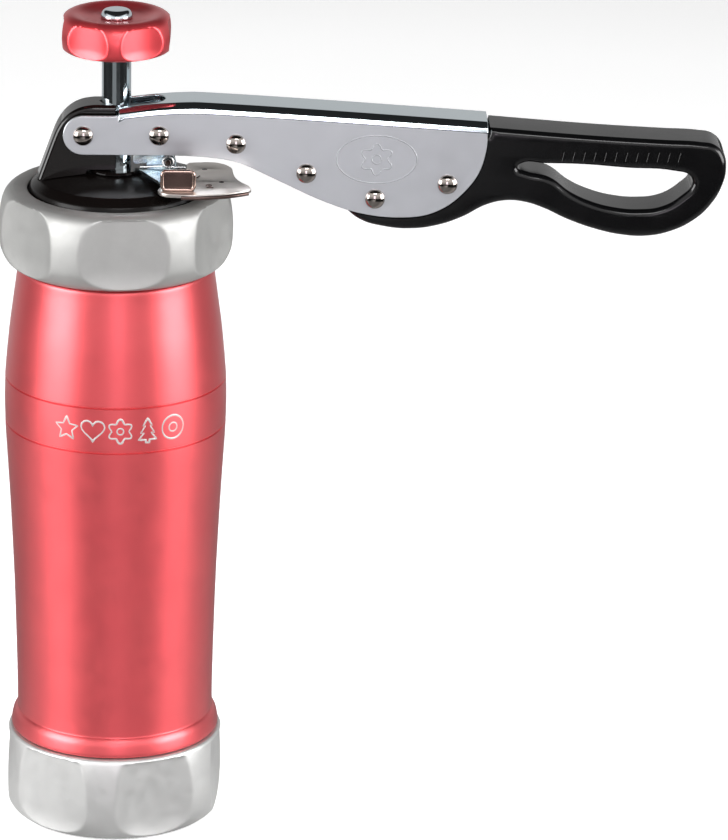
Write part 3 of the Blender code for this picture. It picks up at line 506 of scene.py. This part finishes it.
def scalloped(radius, half_angle, hollow, phase, inner, low, high, corner, flare):
    """A shape function that cuts six shallow finger pads into a rim of that radius. A pad
    reaches half_angle to each side and is hollowed to the radius hollow. It runs from low
    to high, has round top corners and flares out to the rim at its foot. phase is the
    angle of one pad's middle. Radii under inner stay as they are."""
    half_chord = radius * math.sin(half_angle)
    centre = radius * math.cos(half_angle) + math.sqrt(hollow ** 2 - half_chord ** 2)
    half_width = radius * half_angle
    sixth = math.pi / 3

    def shape(r, height, angle):
        if r < inner:
            return r
        off = (angle - phase + sixth / 2) % sixth - sixth / 2
        across = hollow ** 2 - (centre * math.sin(off)) ** 2
        if across <= 0:
            return r
        pad = centre * math.cos(off) - math.sqrt(across)
        aside = max(0.0, radius * abs(off) - half_width + corner)
        along = max(0.0, height - high + corner)
        beyond = max(0.0, math.hypot(aside, along) - corner)
        foot = max(0.0, low + flare - height) / flare
        pad += PAD_STEEPNESS * (beyond / PAD_WALL) ** 2 + PAD_FLARE * foot ** 2
        return soft_min(r, pad, PAD_BLEND)

    return shape


def make_upper_nut():
    side = catmull([(28.2, 183.0), (29.4, 182.45), (30.5, 181.4), (31.2, 180.0),
                    (31.7, 178.0), (32.1, 174.8), (32.2, 171.0), (32.0, 167.4),
                    (31.5, 165.3), (30.3, 163.1), (28.9, 162.0), (27.6, 161.6)], 7)
    profile = [(24.8, 182.9), (25.1, 183.0), (26.5, 183.0)] + side
    profile += [(27.25, 161.8), (27.2, 162.2), (27.2, 172.0), (27.2, 181.7),
                (24.6, 181.9), (24.5, 182.1), (24.5, 182.7)]
    shape = scalloped(radius=32.2, half_angle=math.radians(22.5), hollow=110.0,
                      phase=math.radians(-85.0), inner=28.0, low=162.0, high=181.8,
                      corner=4.0, flare=6.0)
    nut = revolve("upper_ring", profile, 320, shape, sharp=50.0)
    finish_piece(nut, UPPER_SILVER, "upper_ring", ["upper_ring_nut"])


def make_lower_nut():
    side = catmull([(28.9, 24.6), (29.5, 24.35), (30.1, 23.3), (30.7, 19.5),
                    (31.1, 14.0), (31.2, 9.5), (31.0, 6.0), (30.5, 3.7), (29.6, 1.8),
                    (28.4, 0.6), (27.3, 0.05)], 7)
    profile = [(27.1, 24.4), (27.4, 24.6), (28.2, 24.6)] + side
    profile += [(27.2, 0.0), (24.0, 0.0), (23.6, 0.2), (23.5, 0.5), (23.5, 2.0),
                (23.8, 2.2), (26.9, 2.2), (26.9, 12.0), (26.9, 24.2)]
    shape = scalloped(radius=31.2, half_angle=math.radians(22.5), hollow=110.0,
                      phase=math.radians(-66.5), inner=27.8, low=0.5, high=23.2,
                      corner=4.0, flare=6.0)
    nut = revolve("lower_ring", profile, 320, shape, sharp=50.0)
    finish_piece(nut, LOWER_SILVER, "foot", ["lower_ring_nut"])


def make_knob():
    side = catmull([(4.9, 231.05), (7.2, 231.2), (9.2, 231.65), (10.8, 232.15),
                    (12.4, 232.3), (13.8, 231.9), (14.9, 230.9), (15.6, 229.3),
                    (16.0, 227.3), (15.95, 225.4), (15.5, 223.7), (14.6, 222.5),
                    (13.0, 221.95), (11.0, 221.8)], 5)
    profile = [(2.35, 231.05)] + side + [(4.6, 221.8), (2.35, 221.8)]
    shape = scalloped(radius=16.0, half_angle=math.radians(23.5), hollow=24.0,
                      phase=math.radians(-61.5), inner=10.9, low=222.2, high=230.9,
                      corner=2.2, flare=3.0)
    knob = revolve("knob_wheel", profile, 288, shape, sharp=50.0)
    finish_piece(knob, KNOB_RED, "plunger_rod", ["knob"])


# ---------------------------------------------------------------- rod, screw and cap

def make_knob_screw():
    steps = 16
    dome = [(0.1 + 4.2 * i / steps, 233.3 - 1.3 * (i / steps) ** 8)
            for i in range(steps + 1)]
    profile = dome + [(4.4, 231.8), (4.4, 231.35), (2.05, 231.35), (2.05, 216.0), (1.5, 215.3)]
    screw = revolve("dome_screw", profile, 48, ring=False)
    finish_piece(screw, CHROME, "plunger_rod", ["knob_dome_screw"])


def dome_height(radius):
    return 188.0 - 0.0048 * radius ** 2


def make_cap():
    dome = [(6.8 + 13.2 * i / 12, dome_height(6.8 + 13.2 * i / 12)) for i in range(13)]
    shoulder = catmull([(20.7, 185.93), (21.2, 185.8), (21.6, 185.5), (23.0, 184.25),
                        (23.45, 183.75), (23.7, 183.1), (24.1, 181.8)], 4)
    under = [(26.1, 181.6), (26.2, 181.4), (26.2, 180.4), (26.0, 180.3), (22.9, 180.3),
             (22.9, 182.4), (22.3, 183.5), (21.2, 184.2)]
    inside = [(r, dome_height(r) - 1.2) for r in (20.0, 16.0, 12.0, 9.0, 6.8)]
    cap = revolve("cap_dome", dome + shoulder + under + inside, 120)
    finish_piece(cap, CAP_ENAMEL, "head", ["cap"])


# ---------------------------------------------------------------- pressed channels

def turn_top_up(item):
    """Turns all the faces over if the topmost one looks down."""
    form = bmesh.new()
    form.from_mesh(item.data)
    top = max(form.faces, key=lambda face: face.calc_center_median().z)
    if top.normal.z < 0:
        bmesh.ops.reverse_faces(form, faces=form.faces)
        form.to_mesh(item.data)
    form.free()


def pressed_channel(name, ridge, inward, half_width, fold, sheet, rest, opening):
    """A channel pressed from sheet: a web along the ridge line, two folds, and two side
    walls. ridge and rest are (x, z) points; inward gives the way into the channel at a
    ridge point. The walls run from the folded ridge round the rest of their outline.
    opening gives the half width of a slot in the web at a ridge point."""
    form = bmesh.new()
    flat = half_width - fold
    quarter = [math.pi / 2 * i / FOLD_STEPS for i in range(FOLD_STEPS + 1)]

    def folded(x, z, way, side, angle):
        drop = fold * (1 - math.cos(angle))
        return form.verts.new(spot(x + way[0] * drop, side * (flat + fold * math.sin(angle)),
                                   z + way[1] * drop))

    rows = []
    for x, z in ridge:
        way = inward(x, z)
        gap = min(opening(x, z), flat - LEAST_WEB)
        row = [folded(x, z, way, -1, angle) for angle in reversed(quarter)]
        row += [form.verts.new(spot(x, y, z)) for y in (-gap, gap)]
        row += [folded(x, z, way, 1, angle) for angle in quarter]
        rows.append(row)
    slot_face = FOLD_STEPS + 1
    for row, following, here, there in zip(rows, rows[1:], ridge, ridge[1:]):
        open_here = opening(*here) > 0 or opening(*there) > 0
        for i in range(len(row) - 1):
            if i == slot_face and open_here:
                continue
            form.faces.new((row[i], following[i], following[i + 1], row[i + 1]))
    for side, column in ((-1, 0), (1, -1)):
        wall = [row[column] for row in rows]
        wall += [form.verts.new(spot(x, side * half_width, z)) for x, z in rest]
        form.faces.new(wall)
    bmesh.ops.remove_doubles(form, verts=form.verts, dist=0.000001)
    item = mesh_from(form, name, 50.0)
    turn_top_up(item)
    solid = item.modifiers.new("sheet", 'SOLIDIFY')
    solid.thickness = sheet * MM
    solid.offset = -1.0
    solid.use_even_offset = True
    edge = item.modifiers.new("edges", 'BEVEL')
    edge.width = SHEET_EDGE_ROUND * MM
    edge.segments = 2
    edge.limit_method = 'ANGLE'
    edge.angle_limit = math.radians(60.0)
    weighted(item)
    return item


def web_top(x):
    """Height of the lever's top face."""
    crown = 22.0
    crown_height = 208.6
    if x < crown:
        return crown_height - 1.9 * ((crown - x) / (crown - WEB_START)) ** 1.8
    return crown_height - 4.9 * ((x - crown) / (WEB_END - crown)) ** 1.12


def lever_lower_edge():
    """From the tail's top corner down round the swell to the straight part."""
    return catmull([(101.4, 200.6), (101.2, 196.6), (99.8, 191.0), (97.1, 186.3),
                    (92.6, 181.6), (88.0, 178.7), (83.2, 177.2), (77.0, 176.8),
                    (70.5, 177.3), (63.3, 178.9), (54.8, 182.1), (46.8, 185.9),
                    (40.8, 188.8), (35.8, 191.2), (31.5, 192.6), (26.5, 193.4),
                    (20.0, 193.9), (13.0, 194.0)], 4)


def rod_slot(x, z):
    """Half width of the web's slot: straight sides and a round end."""
    if x <= ROD_SLOT_STRAIGHT:
        return ROD_SLOT_HALF_WIDTH
    return math.sqrt(max(0.0, ROD_SLOT_HALF_WIDTH ** 2 - (x - ROD_SLOT_STRAIGHT) ** 2))


def make_lever():
    """The folded sheet, with its large flat sides in satin and the rest bright."""
    stations = [WEB_START + (ROD_SLOT_STRAIGHT - WEB_START) * i / 5 for i in range(5)]
    stations += [ROD_SLOT_STRAIGHT + ROD_SLOT_HALF_WIDTH * math.sin(math.pi / 2 * i / 8)
                 for i in range(9)]
    stations += [ROD_SLOT_END + (WEB_END - ROD_SLOT_END) * i / 44 for i in range(1, 45)]
    ridge = [(x, web_top(x)) for x in stations]
    fork = [(PIVOT[0] + FORK_END_RADIUS * math.cos(math.radians(a)),
             PIVOT[1] + FORK_END_RADIUS * math.sin(math.radians(a)))
            for a in range(270, 89, -12)]
    rest = lever_lower_edge() + fork + [(WEB_START - 0.02, FORK_TOP)]
    lever = pressed_channel("lever_sheet", ridge, lambda x, z: (0.0, -1.0),
                            LEVER_HALF_WIDTH, FOLD_RADIUS, LEVER_SHEET, rest, rod_slot)
    finish_piece(lever, CHROME, "lever", ["lever_channel"])
    lever.data.materials.append(SATIN)
    for face in lever.data.polygons:
        if abs(face.normal.y) > 0.99 and face.area > 0.0001:
            face.material_index = 1


def make_bracket():
    ridge = catmull([(-21.6, 186.0), (-19.6, 191.6), (-17.6, 197.2), (-16.3, 200.4),
                     (-14.7, 203.0), (-12.6, 205.1), (-9.8, 206.6), (-6.6, 207.25),
                     (-3.4, 207.3), (-0.2, 207.3)], 5)
    ways = {}
    for before, here, after in zip(ridge[:1] + ridge, ridge, ridge[1:] + ridge[-1:]):
        along = Vector((after[0] - before[0], after[1] - before[1])).normalized()
        ways[here] = (along.y, -along.x)
    notch_radius = 4.25
    notch_bottom = 205.0

    def rod_notch(x, z):
        if z < notch_bottom or abs(x) > notch_radius:
            return 0.0
        return math.sqrt(notch_radius ** 2 - x ** 2)

    foot = [(-0.2, 189.2), (-7.9, 189.2), (-8.3, 188.0), (-11.0, 187.6), (-14.0, 187.2),
            (-17.0, 186.7), (-19.4, 186.3)]
    bracket = pressed_channel("lever_tower", ridge, lambda x, z: ways[(x, z)], 5.3, 1.25,
                              0.95, foot, rod_notch)
    finish_piece(bracket, ENAMEL_AND_HOLE_SHADE, "head", ["lever_bracket"])


# ---------------------------------------------------------------- grip

def make_grip():
    """The moulding with its finger loop, cut back on both sides for the lever's plates."""
    top = [(46.5, 203.0), (60.0, 203.2), (75.0, 202.2), (90.0, 201.2), (101.6, 200.6, 0),
           (102.1, 202.4, 0), (116.0, 201.3), (133.0, 200.1), (150.0, 199.2)]
    tail = [(160.0, 198.7), (163.9, 197.9), (166.4, 195.2), (167.1, 191.5),
            (166.2, 186.4), (163.0, 180.6), (158.4, 176.2), (152.0, 173.0),
            (145.5, 171.7), (139.0, 172.0), (132.0, 173.5), (124.0, 176.3),
            (117.0, 179.6), (112.0, 181.2), (107.0, 181.6), (101.5, 180.3),
            (95.0, 176.8), (88.0, 174.3), (80.5, 173.3), (73.5, 173.9), (67.0, 175.8),
            (62.5, 179.3), (57.0, 184.6), (49.0, 188.0), (46.2, 193.0)]
    loop = [(109.9, 191.1), (111.0, 192.3), (117.4, 192.3), (128.0, 192.1),
            (140.0, 191.2), (153.0, 190.4), (157.3, 189.0), (157.9, 186.9),
            (154.8, 183.2), (149.8, 180.2), (143.5, 179.3), (136.8, 179.8),
            (130.0, 181.6), (124.5, 184.2), (118.8, 188.3), (112.0, 190.0)]
    grip = flat_piece("grip_moulding", [top + tail, loop], 7.4, 1.7, smooth=(0, 1))
    edge = [(x + 0.2, z - 0.3) for x, z in lever_lower_edge() if x > 30]
    pocket = [(102.0, 214.0), (102.0, 200.5)] + edge + [(30.0, 190.0), (30.0, 214.0)]
    for side in (-1, 1):
        cutter = flat_piece("pocket", [pocket], 5.0, 0.0, y=side * 11.1)
        cut(grip, cutter)
    weighted(grip)
    finish_piece(grip, PLASTIC, "lever", ["handle_grip"])
    ridges = [[spot(122.0 + 2.9 * i, -7.38, 193.3), spot(122.6 + 2.9 * i, -7.38, 195.9)]
              for i in range(12)]
    marks = strokes("grip_ridges", ridges, 0.22)
    finish_piece(marks, PLASTIC, "lever", [])


# ---------------------------------------------------------------- rivets

def make_rivet(name, node, centre):
    """A round-headed rivet across the lever."""
    radius = 2.75
    seat = LEVER_HALF_WIDTH + 0.05
    head = []
    for degrees in range(3, 91, 9):
        angle = math.radians(degrees)
        head.append((radius * math.sin(angle), seat + 0.15 + 1.55 * math.cos(angle)))
    head += [(radius, seat), (1.9, seat)]
    profile = head + [(r, -h) for r, h in reversed(head)]
    rivet = revolve(name, profile, 40, centre=centre, ring=False, across=True)
    finish_piece(rivet, NICKEL, "lever", [node])


# ---------------------------------------------------------------- dose regulator

def make_regulator():
    """The leaf with its two holes, and the lip, tab, painted hole shade and numbers on it."""
    leaf_middle = 187.6
    leaf_top = 188.1
    tab_front = -20.9
    tab_left, tab_right = 12.7, 21.3
    front = [(12.0, -22.0), (17.9, -24.3), (24.6, -24.3), (31.4, -22.4), (36.0, -19.9, 0)]
    right = [(36.9, -18.4, 0), (36.6, -16.3), (34.0, -11.6), (32.5, -7.0), (32.0, -2.6),
             (31.4, 1.8), (28.0, 5.9), (25.0, 6.5, 0)]
    left = [(20.0, 5.8, 0), (19.3, 4.6, 0), (19.3, -5.2, 0)]
    boss = [(17.2 + 3.4 * math.cos(math.radians(a)), -10.0 + 3.4 * math.sin(math.radians(a)))
            for a in (80, 115, 150, 185, 215)]
    detents = ((24.2, -0.4), (28.8, -12.2))
    holes = [[(x + a, y + b) for a, b in oval(0.72, 0.72, 8)] for x, y in detents]
    leaf = flat_piece("regulator_leaf", [front + right + left + boss] + holes, 0.5, 0.14,
                      z=leaf_middle, smooth=(0, 1, 2))
    finish_piece(leaf, REGULATOR_NICKEL, "regulator", ["dose_regulator"])
    # The lip is a real turned-down edge, and its dark brown is painted shade under the leaf's
    # front edge.
    rim = [spot(x, y + 0.15, 187.2) for x, y in catmull(front[1:], 6)]
    lip = strokes("regulator_lip", [rim], 0.62)
    finish_piece(lip, SHADE_AND_MARK_BROWN, "regulator", [])
    outline = [(tab_left, 187.9), (tab_left, 192.6), (13.9, 193.7), (20.1, 193.7),
               (tab_right, 192.6), (tab_right, 187.9)]
    # The tab's dark brown face is painted shade inside its rolled rim.
    tab = flat_piece("regulator_tab", [outline], 0.35, 0.1, y=tab_front)
    finish_piece(tab, SHADE_AND_MARK_BROWN, "regulator", [])
    corners = [(x, z, 1.2) for x, z in ((tab_left, 188.5), (tab_left, 193.6),
                                        (tab_right, 193.6), (tab_right, 188.5))]
    rim_line = [spot(x, tab_front, z) for x, z in filleted(corners)]
    rolled = strokes("regulator_tab_rim", [closed_up(rim_line)], 0.55)
    finish_piece(rolled, COPPERY, "regulator", [])
    # Black wires sunk nearly flush in the two holes: painted shade in the holes.
    hole_shade = strokes("regulator_painted_hole_shade", [[spot(x, y, 187.4), spot(x, y, 188.09)]
                                      for x, y in detents], 0.7)
    finish_piece(hole_shade, ENAMEL_AND_HOLE_SHADE, "regulator", [])
    one = [(22.0, -8.9), (22.9, -6.9)]
    two = catmull([(24.6, -15.6), (25.3, -15.1), (26.1, -15.5), (25.9, -16.4),
                   (24.9, -17.6)], 3) + [(26.6, -17.6)]
    lines = [[spot(x, y, leaf_top) for x, y in number] for number in (one, two)]
    numbers = strokes("regulator_numbers", lines, 0.2)
    finish_piece(numbers, SHADE_AND_MARK_BROWN, "regulator", [])


# ---------------------------------------------------------------- engraved shapes

def polar_line(count, radius_at):
    """A closed flat line whose radius is given at each angle, measured from the top."""
    line = []
    for i in range(count):
        angle = 2 * math.pi * i / count
        radius = radius_at(i, angle)
        line.append((radius * math.sin(angle), radius * math.cos(angle)))
    return line


def star(points, outer, inner):
    return polar_line(2 * points, lambda i, angle: inner if i % 2 else outer)


def flower(petals, outer, inner):
    middle = (outer + inner) / 2
    wave = (outer - inner) / 2
    return polar_line(60, lambda i, angle: middle + wave * math.cos(petals * angle))


def oval(half_width, half_height, count):
    turns = [2 * math.pi * i / count for i in range(count)]
    return [(half_width * math.cos(a), half_height * math.sin(a)) for a in turns]


def heart(size):
    line = []
    for i in range(28):
        t = 2 * math.pi * i / 28
        x = math.sin(t) ** 3
        y = (13 * math.cos(t) - 5 * math.cos(2 * t) - 2 * math.cos(3 * t)
             - math.cos(4 * t)) / 16
        line.append((x * size, y * size + 0.1 * size))
    return line


def fir_tree(height):
    half = [(0.0, 1.0), (0.42, 0.38), (0.22, 0.38), (0.62, -0.2), (0.32, -0.2),
            (0.82, -0.76), (0.16, -0.76), (0.16, -1.0)]
    line = half + [(-x, y) for x, y in reversed(half[1:])]
    return [(x * height * 0.9, y * height) for x, y in line]


def in_steps(line, step):
    """The closed line's points, with more between them so that none are far apart."""
    fine = []
    for (x, y), (next_x, next_y) in zip(line, line[1:] + line[:1]):
        count = max(1, round(math.hypot(next_x - x, next_y - y) / step))
        fine += [(x + (next_x - x) * i / count, y + (next_y - y) * i / count)
                 for i in range(count)]
    return fine


def on_band(line, along, height):
    """Lays a flat closed line on the barrel's band, at a distance round from the front."""
    placed = []
    for x, y in in_steps(line, 0.5):
        angle = (along + x) / BELLY_RADIUS
        radius = BELLY_RADIUS - STROKE_SUNK
        placed.append(spot(radius * math.sin(angle), -radius * math.cos(angle), height + y))
    return closed_up(placed)


def make_band_shapes():
    """A row of plain cookie shapes etched round the front of the band."""
    height = (BAND_BOTTOM + BAND_TOP) / 2
    size = 3.5
    row = [[star(5, size, size * 0.48)], [heart(size * 0.95)],
           [flower(6, size, size * 0.68), oval(size * 0.26, size * 0.26, 16)],
           [fir_tree(size)],
           [oval(size * 0.96, size * 0.96, 28), oval(size * 0.36, size * 0.36, 18)]]
    pitch = 7.6
    middle = 1.7
    lines = []
    for number, shapes in enumerate(row):
        along = (number - (len(row) - 1) / 2) * pitch + middle
        lines += [on_band(line, along, height) for line in shapes]
    etched = strokes("band_shapes", lines, STROKE_RADIUS)
    finish_piece(etched, ETCHED, "barrel", [])


def make_lever_mark():
    """A plain stamped flower in an oval on the lever's near side."""
    centre = (71.2, 193.4)
    face = -LEVER_HALF_WIDTH + 0.25

    def stamped(line):
        return closed_up([spot(centre[0] + x, face, centre[1] + y) for x, y in line])

    lines = [stamped(oval(11.0, 6.8, 48)), stamped(flower(6, 4.6, 3.1)),
             stamped(oval(1.3, 1.3, 16))]
    mark = strokes("lever_mark", lines, 0.32)
    finish_piece(mark, STAMPED, "lever", [])


# ---------------------------------------------------------------- pieces kept from CAD

def dress_cad_nodes():
    looks = {
        "die_disc": UPPER_SILVER, "piston_plate": UPPER_SILVER, "piston_seal": SEAL,
        "piston_screw": NICKEL, "ratchet_rod": CHROME, "rod_guide": ENAMEL_AND_HOLE_SHADE,
        "spacer_tube": ZINC, "drive_pawl": ZINC, "drive_pawl_spring": STEEL,
        "holding_pawl": ZINC, "holding_pawl_spring": STEEL, "holding_pawl_pin": NICKEL,
        "pawl_bracket": ZINC, "regulator_rivet": NICKEL,
    }
    for name, material in looks.items():
        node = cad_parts[name]
        for place in node.material_slots:
            place.material = material
        if not node.material_slots:
            node.data.materials.append(material)


# ---------------------------------------------------------------- studio

FLOOR_GLOW = 0.33

# Grey levels as (degrees, level). The sky's degrees are heights above the horizon; the
# floor's are counted round the barrel's axis.
SKY_FRONT = [(-90, 0.5), (0, 0.6), (14, 1.15), (38, 1.15), (46, 0.02), (90, 0.02)]
SKY_BACK = [(-90, 0.5), (0, 0.54), (20, 0.54), (27, 0.02), (90, 0.02)]
FLOOR_NEAR = [(-180, 0.22), (-125, 0.25), (-98, 0.55), (-56, 0.70), (-38, 0.32),
              (-20, 0.26), (0, 0.36), (20, 0.32), (45, 0.26), (62, 0.5), (80, 0.62),
              (108, 0.5), (135, 0.25), (180, 0.22)]
FLOOR_FAR = [(-180, 0.6), (-128, 0.5), (-108, 0.02), (-26, 0.015), (-8, 0.42), (2, 0.7),
             (9, 0.66), (14, 0.02), (95, 0.02), (112, 0.2), (135, 0.4), (180, 0.6)]
FLOOR_EDGE = [(-180, 0.5), (-120, 0.01), (120, 0.01)]

# Distances from the barrel's axis, in metres, between which one gives way to the next.
NEAR_TO_FAR = (0.36, 0.46)
FAR_TO_EDGE = (0.80, 0.88)
CARD_RADIUS = 1.9

# The camera's place and target are in the frame's metres, its lens in millimetres.
CAMERA_PLACE = Vector((-0.0468, -1.60446, 0.67687))
CAMERA_TARGET = Vector((0.00166, 0.0, 0.11536))
CAMERA_ROLL = math.radians(0.97)
CAMERA_LENS = 261.56


def make_floor():
    bpy.ops.mesh.primitive_plane_add(size=6.0, location=(0, 0, -0.0002))
    floor = bpy.context.object
    floor.name = "studio_floor"
    material = new_material("studio_floor", (0.93, 0.93, 0.93), 0.8, 0.0,
                            Emission_Color=(1.0, 1.0, 1.0, 1.0),
                            Emission_Strength=FLOOR_GLOW)
    vary_roughness(material, 400.0, 0.78, 0.84)
    floor.data.materials.append(material)


def math_node(tree, operation, first, second=None):
    node = tree.nodes.new("ShaderNodeMath")
    node.operation = operation
    for socket, value in zip(node.inputs, (first, second)):
        if value is None:
            continue
        if isinstance(value, float):
            socket.default_value = value
        else:
            tree.links.new(value, socket)
    return node.outputs["Value"]


def grey_levels(tree, angle, stops):
    """Grey by an angle in radians; stops are (degrees, level) pairs over -180 to 180."""
    turn = math_node(tree, 'DIVIDE', angle, 2 * math.pi)
    ramp = tree.nodes.new("ShaderNodeValToRGB")
    elements = ramp.color_ramp.elements
    while len(elements) < len(stops):
        elements.new(0.5)
    for element, (degrees, level) in zip(elements, stops):
        element.position = degrees / 360.0 + 0.5
        element.color = (level, level, level, 1.0)
    tree.links.new(math_node(tree, 'ADD', turn, 0.5), ramp.inputs["Fac"])
    return ramp.outputs["Color"]


def split(tree, coordinates):
    parts = tree.nodes.new("ShaderNodeSeparateXYZ")
    tree.links.new(coordinates, parts.inputs["Vector"])
    return parts.outputs


def blend_colours(tree, value, low, high, first, second):
    """The first colour where the value is below low, the second above high."""
    span = tree.nodes.new("ShaderNodeMapRange")
    span.inputs["From Min"].default_value = low
    span.inputs["From Max"].default_value = high
    tree.links.new(value, span.inputs["Value"])
    mix = tree.nodes.new("ShaderNodeMix")
    mix.data_type = 'RGBA'
    tree.links.new(span.outputs["Result"], mix.inputs["Factor"])
    tree.links.new(first, mix.inputs["A"])
    tree.links.new(second, mix.inputs["B"])
    return mix.outputs["Result"]


def make_world():
    """A soft sky by height: a bright bank and a dark ceiling, which gives the plated
    folds their dark line. It is dimmer behind the press."""
    world = bpy.data.worlds.new("studio")
    bpy.context.scene.world = world
    world.use_nodes = True
    tree = world.node_tree
    way = split(tree, tree.nodes.new("ShaderNodeTexCoord").outputs["Generated"])
    height = math_node(tree, 'ARCSINE', way["Z"])
    sky = blend_colours(tree, way["Y"], -0.3, 0.3, grey_levels(tree, height, SKY_FRONT),
                        grey_levels(tree, height, SKY_BACK))
    tree.links.new(sky, tree.nodes["Background"].inputs["Color"])


def make_floor_card():
    """What glossy pieces see of the floor, by angle and distance from the barrel's axis.
    Pale and dark parts alternate so that plated and turned shapes read."""
    bpy.ops.mesh.primitive_circle_add(vertices=64, radius=CARD_RADIUS, fill_type='NGON',
                                      location=(AXIS_X * MM, 0, -0.0001))
    card = bpy.context.object
    card.name = "floor_card"
    material = bpy.data.materials.new("floor_card")
    material.use_nodes = True
    tree = material.node_tree
    tree.nodes.remove(tree.nodes["Principled BSDF"])
    glow = tree.nodes.new("ShaderNodeEmission")
    coordinates = tree.nodes.new("ShaderNodeTexCoord").outputs["Object"]
    way = split(tree, coordinates)
    round_axis = math_node(tree, 'ARCTAN2', way["X"],
                           math_node(tree, 'MULTIPLY', way["Y"], -1.0))
    length = tree.nodes.new("ShaderNodeVectorMath")
    length.operation = 'LENGTH'
    tree.links.new(coordinates, length.inputs[0])
    away = length.outputs["Value"]
    floor = blend_colours(tree, away, *NEAR_TO_FAR, grey_levels(tree, round_axis, FLOOR_NEAR),
                          grey_levels(tree, round_axis, FLOOR_FAR))
    floor = blend_colours(tree, away, *FAR_TO_EDGE, floor,
                          grey_levels(tree, round_axis, FLOOR_EDGE))
    tree.links.new(floor, glow.inputs["Color"])
    tree.links.new(glow.outputs["Emission"], tree.nodes["Material Output"].inputs["Surface"])
    card.data.materials.append(material)
    card.visible_camera = False
    card.visible_diffuse = False
    card.visible_shadow = False
    card.visible_transmission = False


def area_light(name, place, aim, size, power, colour=(1.0, 1.0, 1.0)):
    """A rectangular light at a place that looks at its aim, all in the frame's metres."""
    data = bpy.data.lights.new(name, 'AREA')
    data.shape = 'RECTANGLE'
    data.size, data.size_y = size
    data.energy = power
    data.color = colour
    light = add_object(name, data)
    light.location = place
    light.rotation_euler = (Vector(aim) - Vector(place)).to_track_quat('-Z', 'Y').to_euler()
    light.visible_camera = False
    return light


def make_lights():
    axis = AXIS_X * MM
    belly = (axis, 0, 0.16)
    area_light("left_box", (axis - 0.53, -0.28, 0.27), belly, (0.40, 0.34), 3.6)
    area_light("right_box", (axis + 0.58, -0.24, 0.27), belly, (0.38, 0.34), 3.6)
    area_light("front_box", (axis + 0.05, -1.0, 0.27), (axis, 0, 0.2), (0.20, 0.34), 0.7,
               colour=(1.0, 0.86, 1.0))
    area_light("front_strip", (axis + 0.12, -0.82, 0.77), (axis + 0.1, 0, 0.2),
               (0.45, 0.16), 2.2)
    top = area_light("top_box", (0.0, -0.2, 1.3), (0, 0, 0.1), (1.4, 1.2), 10.0)
    top.visible_glossy = False


def make_camera():
    data = bpy.data.cameras.new("camera")
    data.lens = CAMERA_LENS
    data.sensor_width = 36.0
    data.clip_start = 0.01
    data.clip_end = 20.0
    camera = add_object("camera", data)
    camera.location = CAMERA_PLACE
    way = CAMERA_TARGET - CAMERA_PLACE
    look = way.to_track_quat('-Z', 'Y').to_matrix().to_4x4()
    camera.rotation_euler = (look @ Matrix.Rotation(CAMERA_ROLL, 4, 'Z')).to_euler()
    bpy.context.scene.camera = camera


def make_press():
    make_barrel()
    make_upper_nut()
    make_lower_nut()
    make_knob()
    make_knob_screw()
    make_cap()
    make_bracket()
    make_lever()
    make_grip()
    make_rivet("pivot_rivet_head", "pivot_rivet", PIVOT)
    make_rivet("pawl_rivet_head", "pawl_rivet", PAWL_PIVOT)
    make_rivet("spacer_rivet_head", "spacer_rivet", SPACER)
    for place, centre in zip(("rear", "middle", "front"), GRIP_RIVETS):
        make_rivet(f"grip_rivet_{place}_head", f"grip_rivet_{place}", centre)
    make_regulator()
    make_band_shapes()
    make_lever_mark()
    dress_cad_nodes()


make_press()
make_floor()
make_floor_card()
make_world()
make_lights()
make_camera()
bpy.context.scene.view_settings.view_transform = 'Standard'
